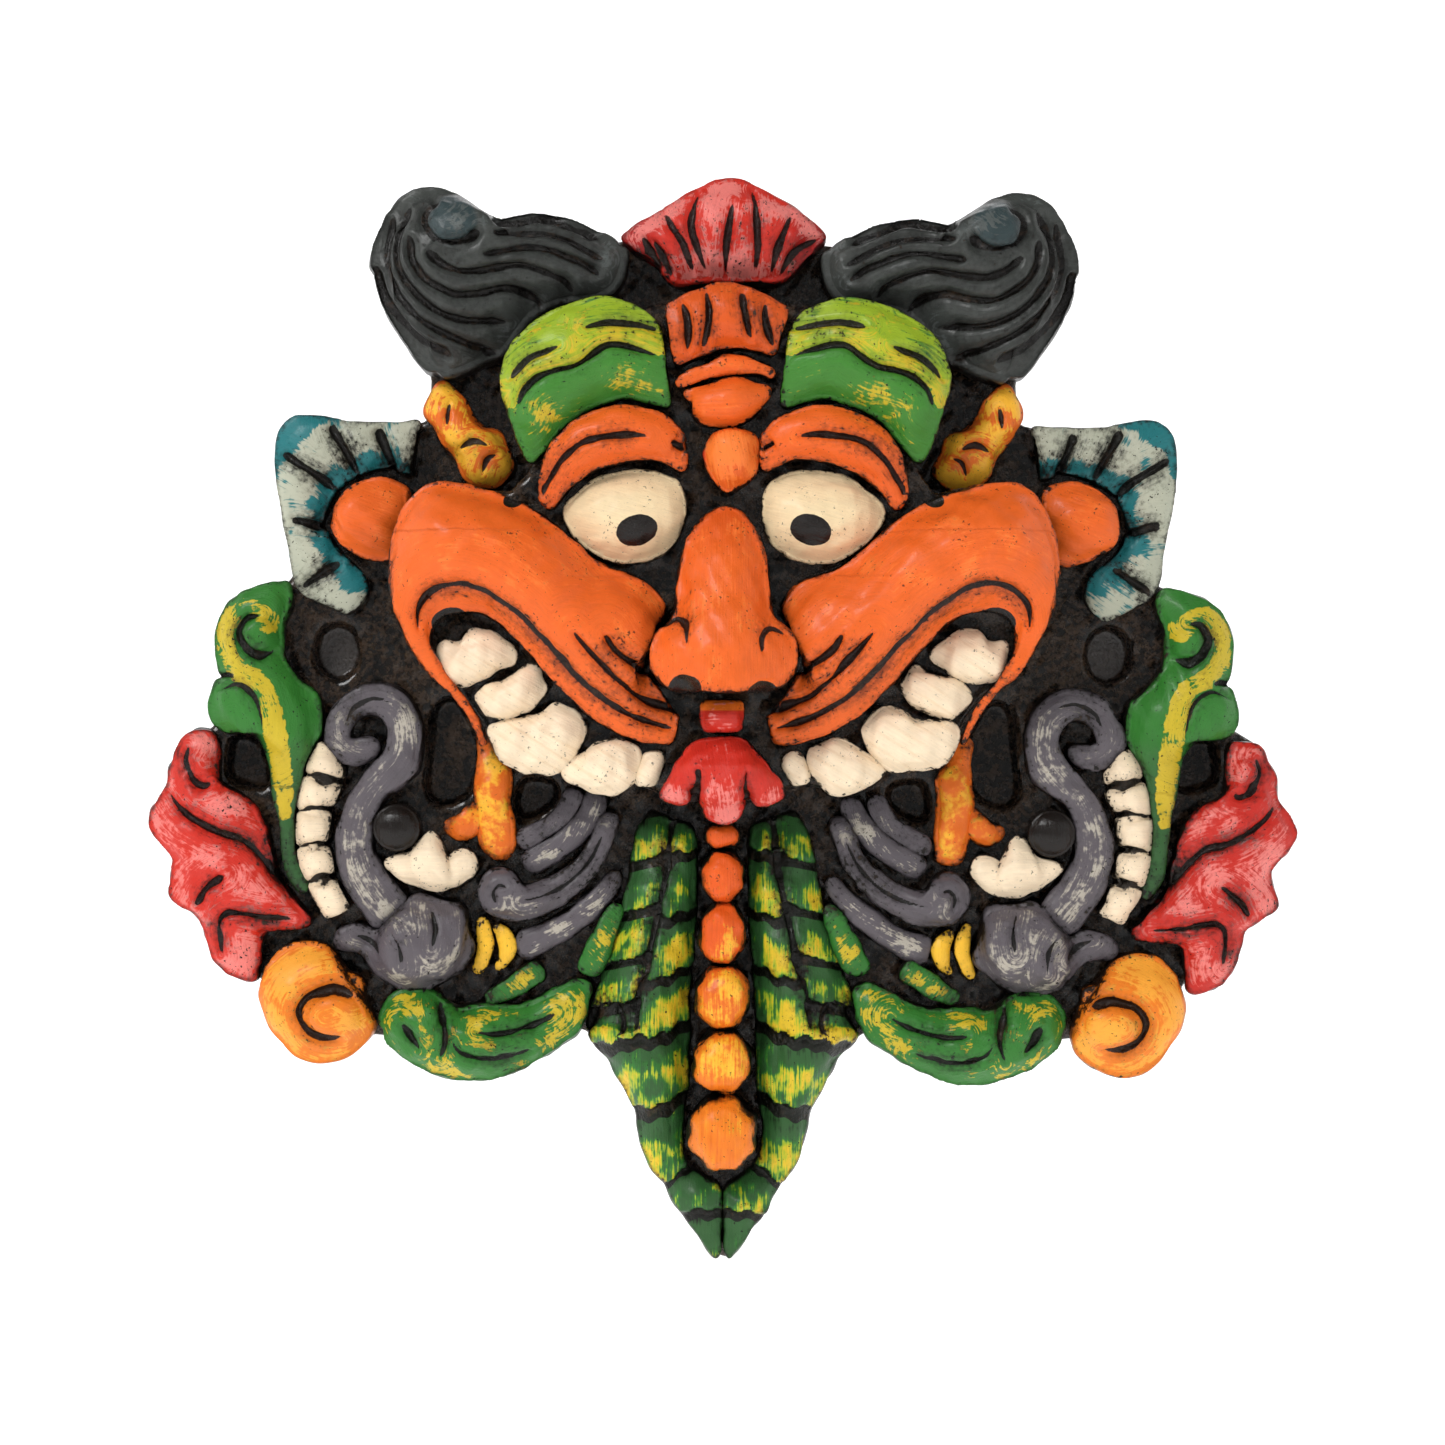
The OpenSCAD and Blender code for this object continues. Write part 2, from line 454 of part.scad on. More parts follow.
module leaf_green(side) color([0.25, 0.5, 0.18]) on_face(panel_t)
    carving([[-109.6, 35.6], [-117.3, 34.1], [-124.5, 29.7], [-127.4, 22.5], [-126.3, 12.5],
             [-128.7, 5.1], [-128.2, 0.4], [-124.5, -1.9], [-118.3, -1.6], [-113.9, -7.2],
             [-112.5, -15.9], [-110.9, -24.7], [-110, -31.8], [-108.9, -37.7], [-104.8, -42.8]],
            [[-108.4, 33.8], [-108.6, 29], [-110.3, 25.1], [-110.6, 19.9], [-110, 15.6], [-106, 10],
             [-101.6, 6.6], [-100.6, 0], [-101.4, -4.2], [-104.2, -8.8], [-106, -13.8], [-107.2, -19.8],
             [-107.7, -26.4], [-107.6, -32], [-105.4, -39]],
            leaf_relief, side, side == RIGHT ? leaf_drift : [0, 0]);

module leaf_red(side) color([0.82, 0.22, 0.17]) on_face(panel_t)
    carving([[-128.3, -2], [-132.2, -1.8], [-135.7, -4.2], [-139.1, -11.3], [-139.1, -16.2],
             [-143.2, -21.6], [-143.8, -24.7], [-142.9, -27.7], [-137.5, -33.9], [-139.4, -42.3],
             [-135.2, -45.9], [-131.1, -49], [-129.1, -56.7], [-125, -62.6], [-117.6, -65]],
            [[-127.6, -4], [-126.9, -9], [-126.8, -15.5], [-121.9, -18.4], [-118.8, -20.2],
             [-115, -26.6], [-112.6, -34.6], [-109.4, -42], [-105, -47.4], [-103.6, -50.4],
             [-108.6, -51.2], [-113.6, -51.4], [-116, -53.4], [-116.4, -58], [-116.4, -63.4]],
            leaf_relief, side, side == RIGHT ? [0, -3] : [0, 0]);

module scroll_orange(side) color([0.92, 0.52, 0.16]) on_face(panel_t)
    carving([[-115.9, -67.6], [-113.8, -61.6], [-109.1, -56.4], [-105, -55.4], [-100.9, -55.8],
             [-97.8, -58.6], [-94.7, -62.8], [-90.6, -64]],
            [[-115.4, -70.4], [-113.2, -76.7], [-106.5, -83.8], [-98.8, -85.6], [-90.8, -81.6],
             [-87.6, -76.8], [-89.4, -71.4], [-91.2, -66.8]],
            scroll_relief, side, side == RIGHT ? [0, -3] : [0, 0], per = 3);

module scroll_green(side) color([0.3, 0.5, 0.2]) on_face(panel_t)
    carving([[-84.4, -79], [-84.9, -72.5], [-81.8, -68], [-78.2, -67.2], [-73.1, -68], [-67, -72],
             [-61.3, -71.2], [-51.5, -71.5], [-43.8, -68.5], [-36.9, -65], [-33.6, -65.6]],
            [[-83.4, -80.8], [-79.7, -83.8], [-76, -86.4], [-72.1, -88.2], [-66, -89.6], [-60, -89.8],
             [-54.1, -88.5], [-45.9, -84.6], [-38.7, -79.7], [-35.8, -77], [-34.6, -71]],
            scroll_relief, side, side == RIGHT ? [0, -1] : [0, 0], per = 3);

module filler_leaves(side) color([0.3, 0.5, 0.2]) on_face(panel_t) {
    carving([[-58.8, -69], [-54.1, -65.4], [-47.4, -60.8]], [[-57, -69.4], [-52, -67.6], [-45.4, -63.6]],
            leaf_relief, side, per = 4);
    carving([[-35.4, -61.4], [-34.2, -58], [-31, -52.6], [-27.4, -46.6]],
            [[-32.2, -62], [-29.8, -58.7], [-27.4, -52], [-26.2, -47.4]], leaf_relief, side, per = 3);
}

// ---------- the elephant-headed beasts ----------

beast_drift = [0.8, -1.5];

module trunk(side) color([0.42, 0.4, 0.44]) on_face(panel_t)
    carving([[-87.5, -7.6], [-90.3, -9.1], [-94.9, -9.2], [-98.6, -5.4], [-98.4, -0.4], [-94, 6.4],
             [-87.7, 8.9], [-82.6, 8.1], [-78.5, 4.7], [-76.5, -0.4], [-76.3, -6], [-77.4, -11.4],
             [-80.5, -14.6], [-84.6, -17], [-87.2, -20.8], [-88.5, -25], [-88.8, -29.6],
             [-88, -34.2], [-86, -37.8], [-82.6, -41.4], [-79.8, -45]],
            [[-87, -5.2], [-89.6, -4.9], [-93, -5], [-94.4, -3], [-93.6, 0.4], [-91, 2.8],
             [-87.4, 3.2], [-84.6, 2], [-82.8, -0.6], [-82.4, -4], [-83.1, -7], [-85.6, -10],
             [-88.6, -13.4], [-91.6, -17.4], [-94, -22], [-95.6, -26.6], [-95.9, -31.4],
             [-95.2, -36.2], [-93.4, -41], [-90, -46.2], [-86.2, -51]],
            trunk_relief, side, side == RIGHT ? beast_drift : [0, 0]);

module beast_head(side) color([0.45, 0.43, 0.47]) on_face(panel_t)
    carving([[-96.6, -54.8], [-93.2, -51.8], [-89.4, -52], [-85.4, -53.4], [-81.8, -49.6],
             [-78.4, -45], [-74, -44.6], [-70.5, -45.2], [-66, -46.4], [-65.4, -50], [-64.2, -54.4],
             [-63.4, -56.4]],
            [[-96.6, -56.8], [-94.2, -56.3], [-90.6, -56.9], [-87.5, -59.7], [-84.5, -63],
             [-80.9, -65.4], [-76.8, -66.2], [-74, -65.8], [-70.8, -64.4], [-68, -62.4],
             [-65.6, -60], [-64, -58.2]],
            trunk_relief, side, side == RIGHT ? beast_drift : [0, 0]);

beast_eye_spot = [-81.6, -26.3];

module beast_eyes() color([0.1, 0.09, 0.08]) for (side = [LEFT, RIGHT]) {
    spot = placed([beast_eye_spot], side, side == RIGHT ? beast_drift : [0, 0])[0];
    dome = beast_eye_r * 0.8;
    on_face(panel_t) translate([spot.x, spot.y, 0]) rotate_extrude() polygon(concat(
        [[0, 0], [beast_eye_r, 0]],
        [for (a = [0 : 15 : 75]) [beast_eye_r * cos(a), trunk_relief[0] + dome * sin(a)]],
        [[0, trunk_relief[0] + dome]]));
}

module ivory(side) color([0.97, 0.9, 0.76]) on_face(panel_t) {
    drift = side == RIGHT ? beast_drift : [0, 0];
    blocks([[-101, -5], [-103.2, -9], [-105, -14.4], [-106.2, -20.1], [-106.6, -26.2], [-106.3, -31.3],
            [-105, -37.7], [-103, -43], [-99.6, -48.8]],
           [[-97.6, -8.4], [-95.4, -11.6], [-95.2, -14.8], [-96.4, -18.2], [-98, -22], [-98.8, -26.8],
            [-98.7, -31.5], [-97.6, -37], [-96, -42], [-93.8, -46.4]],
           ivory_relief, side, drift, ivory_blocks, 4);
    carving([[-84.2, -34.6], [-80.5, -33.4], [-77.2, -32], [-74.9, -28.8], [-73.1, -27.6], [-71.4, -29.4],
             [-70.3, -32], [-69, -34.6], [-67.6, -33.4], [-65.1, -32], [-63, -33.2]],
            [[-83.4, -36], [-81.4, -38.2], [-79, -39.6], [-76, -41], [-73.4, -41.8], [-71.3, -42],
             [-69.4, -41.7], [-67.4, -41.1], [-65.1, -40], [-62.8, -38.4], [-61.9, -36.4]],
            ivory_relief, side, drift);
}

module lower_jaw(side) color([0.45, 0.43, 0.47]) on_face(panel_t)
    carving([[-60, -41.6], [-59.5, -39.2], [-57.4, -37.2], [-54.6, -37], [-52.4, -39.2], [-50.6, -41.9],
             [-43.8, -39.9], [-38.7, -36.9], [-34, -32.8], [-31.6, -27], [-29.6, -23.4]],
            [[-60, -43.4], [-58.2, -46.6], [-55.1, -48.6], [-51, -48.9], [-47.6, -48.2], [-44, -46.8],
             [-39.4, -44.2], [-34.6, -39.8], [-30.2, -33.8], [-27.6, -28], [-26.6, -23.4]],
            [trunk_relief[0], jaw_relief[1]], side, side == RIGHT ? beast_drift : [0, 0]);

module gums(side) color([0.36, 0.36, 0.42]) on_face(panel_t) {
    drift = side == RIGHT ? beast_drift : [0, 0];
    carving([[-36.4, -18.4], [-37, -20.4], [-39.6, -24.4], [-44.6, -28], [-49.4, -31]],
            [[-39, -18], [-39.8, -20.2], [-42.6, -23.8], [-46.4, -26.4], [-50.4, -28.2]],
            jaw_relief, side, drift, per = 3);
    carving([[-29.8, -19.4], [-31.4, -23.6], [-35.6, -29], [-41.2, -33.4], [-47.2, -36.8]],
            [[-33.2, -18.8], [-34.8, -22.4], [-38.8, -26.8], [-44, -30.6], [-49.4, -33.6]],
            jaw_relief, side, drift, per = 3);
    carving([[-50.4, -53.2], [-44.9, -51.6], [-39.7, -49.2], [-34.6, -45.1], [-29.8, -41.3], [-26.8, -38]],
            [[-49.4, -58.4], [-45.5, -56.8], [-41.3, -54.4], [-36.6, -51.4], [-31.6, -47], [-27, -40.2]],
            jaw_relief, side, drift, per = 3);
}

module collar(side) color([0.94, 0.66, 0.18]) on_face(panel_t) {
    drift = side == RIGHT ? beast_drift : [0, 0];
    carving([[-60.4, -49.2], [-59, -51], [-58.1, -53.8], [-58, -56.4], [-59.2, -60.1], [-61, -62.6]],
            [[-61.2, -50], [-61, -52], [-60.9, -54.4], [-61, -57], [-61.6, -60], [-62.4, -62]],
            jaw_relief, side, drift, per = 3);
    carving([[-56.2, -51], [-54.1, -52.4], [-52.2, -54.8], [-52.4, -57.6], [-54, -60.2], [-55.8, -61.8]],
            [[-57, -52], [-56.2, -53.8], [-55.7, -56], [-55.7, -58], [-56, -59.8], [-56.8, -61]],
            jaw_relief, side, drift, per = 3);
}

module mouth_flame(side) color([0.93, 0.5, 0.16]) on_face(panel_t) {
    drift = side == RIGHT ? beast_drift : [0, 0];
    carving([[-60.6, -3.4], [-60.1, -9], [-60.5, -14.2], [-61, -19.2], [-60.4, -25], [-59.6, -29.4],
             [-58, -32.4]],
            [[-59.4, -3.2], [-56.8, -9.4], [-54, -13.4], [-54.6, -19.4], [-54.2, -24], [-53.8, -29.1],
             [-54.2, -33]],
            [jaw_relief[0] - 1, jaw_relief[1]], side, drift, per = 3);
    carving([[-61.6, -20.6], [-63.6, -22.6], [-66.4, -24.8], [-69, -25.6]],
            [[-61.4, -24.4], [-63.1, -27.2], [-65.6, -28.6], [-68.4, -27]],
            [jaw_relief[0] - 1, jaw_relief[1]], side, drift, per = 3);
}

// ---------- tail ----------

module tail(side) color([0.25, 0.42, 0.2]) on_face(panel_t)
    carving([[-18.4, -22.6], [-21.3, -27.6], [-22.8, -34], [-23.6, -40], [-24.8, -46.6], [-26.4, -52],
             [-28.4, -58.6], [-30.4, -64.6], [-32.8, -70], [-34.8, -76.4], [-32.3, -81], [-29, -84],
             [-25.1, -91.3], [-22.1, -97], [-20.8, -105.1], [-18.4, -111], [-14.4, -116], [-11.6, -121.6],
             [-7.7, -126.9], [-4, -132], [-1.6, -135]],
            [[-7.4, -26.6], [-6.8, -30], [-6.8, -34], [-6.6, -40], [-6.8, -46], [-7, -52], [-7.6, -58],
             [-8.2, -64], [-8.6, -70], [-8.6, -76], [-8.8, -81], [-8.8, -86], [-9, -91], [-9.8, -97],
             [-10.4, -103], [-10, -108], [-8.2, -112], [-4, -114.6], [-1, -116], [-0.8, -124], [-0.6, -132]],
            tail_relief, side, per = 1);

// Top, bottom and half width of each bead
beads = [[-25.4, -31, 4.2], [-32.3, -44.4, 4.9], [-45.4, -60, 5.4], [-60.8, -75.9, 6.4],
         [-77.4, -91.8, 6.8], [-93.6, -111, 8]];

module tail_beads() color([0.92, 0.48, 0.16]) on_face(panel_t)
    for (b = beads) {
        top = b[0];
        bottom = b[1];
        half = b[2];
        deep = (top - bottom) * 0.3;
        carving([[-half * 0.5, top], [-half, top - deep], [-half, bottom + deep], [-half * 0.5, bottom]],
                [[half * 0.5, top], [half, top - deep], [half, bottom + deep], [half * 0.5, bottom]],
                bead_relief);
    }

// ---------- the nodes ----------

back_panel();
face_core();
crest();
forehead_top();
forehead_ridges();
jewel();
nose();
upper_lip();
tongue();
beast_eyes();
tail_beads();
dowels();
hanger_strap();
hanger_screws();
hanger_ring();
for (side = [LEFT, RIGHT]) {
    name = side == LEFT ? "_left" : "_right";
    hair(side);
    brow(side);
    eyelid(side);
    eye(side);
    cheek(side);
    teeth(side);
    ear(side);
    ear_fan(side);
    flame(side);
    leaf_green(side);
    leaf_red(side);
    scroll_orange(side);
    scroll_green(side);
    filler_leaves(side);
    trunk(side);
    beast_head(side);
    ivory(side);
    lower_jaw(side);
    gums(side);
    collar(side);
    mouth_flame(side);
    tail(side);
}
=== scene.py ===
"""Carved and painted wall mask: cuts the tool marks into each solid of the frame and paints it.

Lengths in the sculpting code are millimetres in the frame: x to the right, z up, and the
height of a carving runs along -y, towards the viewer.
"""

import math

import bmesh
import bpy
import numpy as np
from bpy.props import FloatProperty, FloatVectorProperty, PointerProperty
from bpy.types import Operator, Panel, PropertyGroup
from mathutils import Matrix, Vector


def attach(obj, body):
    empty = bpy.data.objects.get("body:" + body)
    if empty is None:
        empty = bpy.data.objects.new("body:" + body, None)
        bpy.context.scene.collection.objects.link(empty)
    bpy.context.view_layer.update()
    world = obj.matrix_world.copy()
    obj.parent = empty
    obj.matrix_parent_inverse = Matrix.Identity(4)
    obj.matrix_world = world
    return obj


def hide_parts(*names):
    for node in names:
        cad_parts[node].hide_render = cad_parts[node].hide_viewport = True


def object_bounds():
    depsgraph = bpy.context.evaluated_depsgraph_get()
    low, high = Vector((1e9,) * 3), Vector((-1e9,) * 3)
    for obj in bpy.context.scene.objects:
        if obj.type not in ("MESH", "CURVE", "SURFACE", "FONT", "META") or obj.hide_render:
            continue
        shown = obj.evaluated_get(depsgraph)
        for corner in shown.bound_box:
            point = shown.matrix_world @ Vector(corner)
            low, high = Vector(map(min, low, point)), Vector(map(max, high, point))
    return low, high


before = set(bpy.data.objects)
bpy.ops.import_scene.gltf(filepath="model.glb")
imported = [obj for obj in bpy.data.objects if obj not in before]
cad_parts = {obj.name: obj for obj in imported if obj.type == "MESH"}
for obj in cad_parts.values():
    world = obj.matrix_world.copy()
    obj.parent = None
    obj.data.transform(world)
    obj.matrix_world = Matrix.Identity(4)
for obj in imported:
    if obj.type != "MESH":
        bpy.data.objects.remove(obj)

bl_info = {
    "name": "Carved wall mask",
    "version": (1, 0, 0),
    "blender": (4, 5, 0),
    "location": "3D View > Sidebar > Mask",
    "description": "Carves, paints and stages a wall mask with elephant-headed beasts",
    "category": "Object",
}

MM = 0.001
CAD_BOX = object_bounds()
MASK_SIZE = CAD_BOX[1] - CAD_BOX[0]
DRAWN_WIDTH, DRAWN_HEIGHT = 286.8, 269.9   # of the mask that the tool marks are drawn for
SCALE = np.array([MASK_SIZE.x / MM / DRAWN_WIDTH, MASK_SIZE.z / MM / DRAWN_HEIGHT])
SIDES = ("left", "right")
NOWHERE = 1e3   # mm, the distance of a point that no line is near


# ---------- settings ----------

def paint(name, description, red, green, blue):
    """A colour property, from the usual numbers up to 255."""
    return FloatVectorProperty(name=name, description=description, subtype="COLOR_GAMMA",
                               size=3, min=0, max=1, default=(red / 255, green / 255, blue / 255))


def length(name, description, default, low, high):
    """A length property in millimetres."""
    return FloatProperty(name=name, description=description, default=default, min=low, max=high)


class MaskCarving(PropertyGroup):
    """Sizes of the tool marks and of the even mesh that they're cut into."""
    fine: length("Fine mesh", "Mesh size on small carvings, in mm", 0.42, 0.3, 1.5)
    medium: length("Medium mesh", "Mesh size on large carvings, in mm", 0.55, 0.4, 2)
    coarse: length("Coarse mesh", "Mesh size on the face block, in mm", 0.95, 0.6, 3)
    backing: length("Backing mesh", "Mesh size on the back panel, in mm", 1.3, 1, 3)
    gouge: length("Gouge", "Half width of a V groove, in mm", 0.9, 0.4, 2)
    groove_depth: length("Groove depth", "Depth of a V groove, in mm", 2.0, 0.5, 4)
    swell: length("Swell", "How far rounded outlines are let out again, in mm", 0.6, 0, 1)
    waver: length("Waver", "How uneven the knife leaves a surface, in mm", 0.22, 0, 1)


class MaskPaints(PropertyGroup):
    """Colours of the paints, as they look when dry and varnished."""
    orange: paint("Orange", "Face, ears and forehead", 240, 104, 34)
    orange_light: paint("Light orange", "Worn crowns of the orange paint", 255, 134, 58)
    orange_deep: paint("Deep orange", "Thick orange paint near the grooves", 205, 74, 20)
    # The groove colour is the black paint in the grooves, and also the painted shade on low walls, near
    # edges and beside grooves.
    groove: paint("Groove", "Black-brown paint in the grooves and on low walls", 13, 10, 7)
    ground: paint("Ground", "Black-brown ground behind the carvings", 80, 60, 43)
    dust: paint("Dust", "Scuffs on the ground, where wood and old paint show", 104, 84, 62)
    charcoal: paint("Charcoal", "Hair", 66, 69, 66)
    charcoal_light: paint("Light charcoal", "Crowns of the hair's strands", 92, 97, 95)
    slate: paint("Slate", "Curl at the end of the hair", 54, 68, 70)
    red: paint("Red", "Crest, lip and leaves", 212, 48, 34)
    red_dull: paint("Dull red", "Red paint near the grooves", 176, 32, 30)
    pink: paint("Pink", "Dry-brushed crowns on red", 243, 138, 130)
    teal: paint("Teal", "Fans behind the ears", 36, 118, 122)
    teal_pale: paint("Pale teal", "Dry-brushed middle of the fans", 184, 186, 166)
    brow_green: paint("Brow green", "Lowest band of the brows", 66, 134, 48)
    brow_lime: paint("Lime", "Upper bands of the brows", 158, 184, 44)
    yellow: paint("Yellow", "Dry-brushed yellow on green", 224, 190, 44)
    leaf: paint("Leaf green", "Leaves and scrolls", 52, 122, 46)
    scale: paint("Scale green", "Scales of the tail", 50, 92, 48)
    cream: paint("Cream", "Teeth and ivory", 250, 228, 196)
    cream_aged: paint("Aged cream", "Dirty edge of teeth and ivory", 214, 178, 130)
    eyeball: paint("Eyeball", "Eyes", 246, 222, 178)
    eyeball_aged: paint("Aged eyeball", "Dirty edge of the eyes", 206, 160, 96)
    black: paint("Black", "Pupils and beasts' eyes", 26, 21, 18)
    grey: paint("Elephant grey", "Heads of the beasts", 96, 90, 95)
    grey_pale: paint("Pale grey", "Dry-brushed crowns on grey", 196, 188, 172)
    flame: paint("Flame", "Flames", 236, 112, 32)
    flame_light: paint("Light flame", "Middle of the flames and collars", 255, 198, 58)
    scroll: paint("Scroll", "Curled scrolls at the foot", 240, 128, 30)
    scroll_light: paint("Light scroll", "Dry-brushed crowns of the scrolls", 252, 176, 62)
    bead: paint("Bead", "Upper beads", 230, 92, 28)
    bead_light: paint("Light bead", "Lower beads", 244, 176, 44)
    # Paler grey painted on the floors of two pockets as the light that reaches them: painted light.
    lit_pocket_floor: paint("Pocket", "Smooth floor of the deep pockets", 66, 60, 57)
    wood: paint("Bare wood", "Unpainted back", 176, 136, 92)
    wood_dark: paint("Dark grain", "Grain lines of the bare wood", 128, 88, 54)
    brass: paint("Brass", "Hanger", 196, 160, 84)


class MaskStage(PropertyGroup):
    """Camera, lights and floor."""
    lens: FloatProperty(name="Lens", description="Focal length of the camera, in mm",
                        default=99.65, min=30, max=200)
    distance: FloatProperty(name="Distance", description="From the wall to the camera",
                            default=1.02, min=0.5, max=3, unit="LENGTH")
    gap: FloatProperty(name="Floor gap", description="From the tail's tip to the floor",
                       default=0.02, min=0, max=1, unit="LENGTH")
    key: FloatProperty(name="Key light", description="Power of the light from the upper left",
                       default=10.5, min=0, max=200, unit="POWER")
    fill: FloatProperty(name="Fill light", description="Power of the light from the right",
                        default=1.6, min=0, max=200, unit="POWER")
    sky: FloatProperty(name="Room light", description="Strength of the pale room",
                       default=0.2, min=0, max=3)
    sweep: FloatProperty(name="Sweep light", description="Glow of the floor and sweep behind",
                         default=0.62, min=0, max=3)


# ---------- paints as node trees ----------

class Amount:
    """A number in a node tree. Arithmetic on it adds Math nodes."""

    def __init__(self, finish, socket):
        self.finish, self.socket = finish, socket

    def math(self, operation, *values):
        """The result of a Math node on these values."""
        node = self.finish.node("Math", {"operation": operation}, dict(enumerate(values)))
        return Amount(self.finish, node.outputs[0])

    def __add__(self, other):
        return self.math("ADD", self, other)

    def __radd__(self, other):
        return self.math("ADD", other, self)

    def __sub__(self, other):
        return self.math("SUBTRACT", self, other)

    def __rsub__(self, other):
        return self.math("SUBTRACT", other, self)

    def __mul__(self, other):
        return self.math("MULTIPLY", self, other)

    def __rmul__(self, other):
        return self.math("MULTIPLY", other, self)

    def most(self, other):
        return self.math("MAXIMUM", self, other)

    def step(self, low, high):
        """0 below low, 1 above high, and a smooth rise between."""
        node = self.finish.node("MapRange", {"interpolation_type": "SMOOTHSTEP"},
                                {"Value": self, "From Min": low, "From Max": high})
        return Amount(self.finish, node.outputs["Result"])


class Finish:
    """A material whose nodes are added one call at a time."""

    def __init__(self, name, **shader):
        self.material = bpy.data.materials.new(name)
        self.material.use_nodes = True
        self.tree = self.material.node_tree
        self.tree.nodes.clear()
        self.shader = self.node("BsdfPrincipled", {}, shader)
        self.node("OutputMaterial", {}, {"Surface": self.shader.outputs["BSDF"]})
        self.place = self.node("TexCoord").outputs["Object"]

    def node(self, kind, settings=None, sockets=None):
        """A new node of that kind, with its settings and the values or links of its sockets."""
        made = self.tree.nodes.new("ShaderNode" + kind)
        for key, value in (settings or {}).items():
            if key == "stops":
                ramp = made.color_ramp.elements
                while len(ramp) < len(value):
                    ramp.new(0.5)
                for element, (position, colour) in zip(ramp, value):
                    element.position, element.color = position, colour
            else:
                setattr(made, key, value)
        for key, value in (sockets or {}).items():
            self.put(made.inputs[key], value)
        return made

    def put(self, socket, value):
        """Links a value to a socket, or sets it if it's a plain number or colour."""
        value = value.socket if isinstance(value, Amount) else value
        if isinstance(value, bpy.types.NodeSocket):
            self.tree.links.new(value, socket)
        else:
            socket.default_value = value

    def mark(self, name):
        """A number that the carving stored on the mesh."""
        node = self.node("Attribute", {"attribute_name": name})
        return Amount(self, node.outputs["Fac"])

    def noise(self, size, detail=3, vector=None, rough=0.55):
        """Noise from about -0.5 to 0.5 with features of that size in mm."""
        node = self.node("TexNoise", {}, {"Vector": vector or self.place, "Detail": detail,
                                          "Scale": 1 / (size * MM), "Roughness": rough})
        return Amount(self, node.outputs["Fac"]) - 0.5

    def bristles(self, width, run):
        """Streaks of a dry brush, width and run in mm, that follow the tool marks."""
        parts = self.node("SeparateXYZ", {}, {"Vector": self.place}).outputs
        along = [Amount(self, parts[axis]) * (1 / (run * MM)) for axis in "XZ"]
        vector = self.node("CombineXYZ", {}, {"X": self.mark("flow") * (1 / width),
                                              "Y": along[0], "Z": along[1]})
        node = self.node("TexNoise", {}, {"Vector": vector.outputs[0], "Detail": 4.0,
                                          "Scale": 1.0, "Roughness": 0.6})
        return Amount(self, node.outputs["Fac"]) - 0.5

    def blend(self, share, first, second, how="MIX"):
        """Mixes two colours by a share."""
        node = self.node("Mix", {"data_type": "RGBA", "blend_type": how}, {0: share})
        for socket, value in zip(node.inputs[6:8], (first, second)):
            self.put(socket, value)
        return node.outputs[2]

    def bump(self, height, depth):
        """Feeds a height in mm to the shader's normal."""
        node = self.node("Bump", {}, {"Height": height, "Distance": depth * MM, "Strength": 1.0})
        self.put(self.shader.inputs["Normal"], node.outputs["Normal"])


def linear(colour):
    """A colour as the shader wants it: linear, with an alpha."""
    return [c / 12.92 if c <= 0.04045 else ((c + 0.055) / 1.055) ** 2.4 for c in colour] + [1.0]


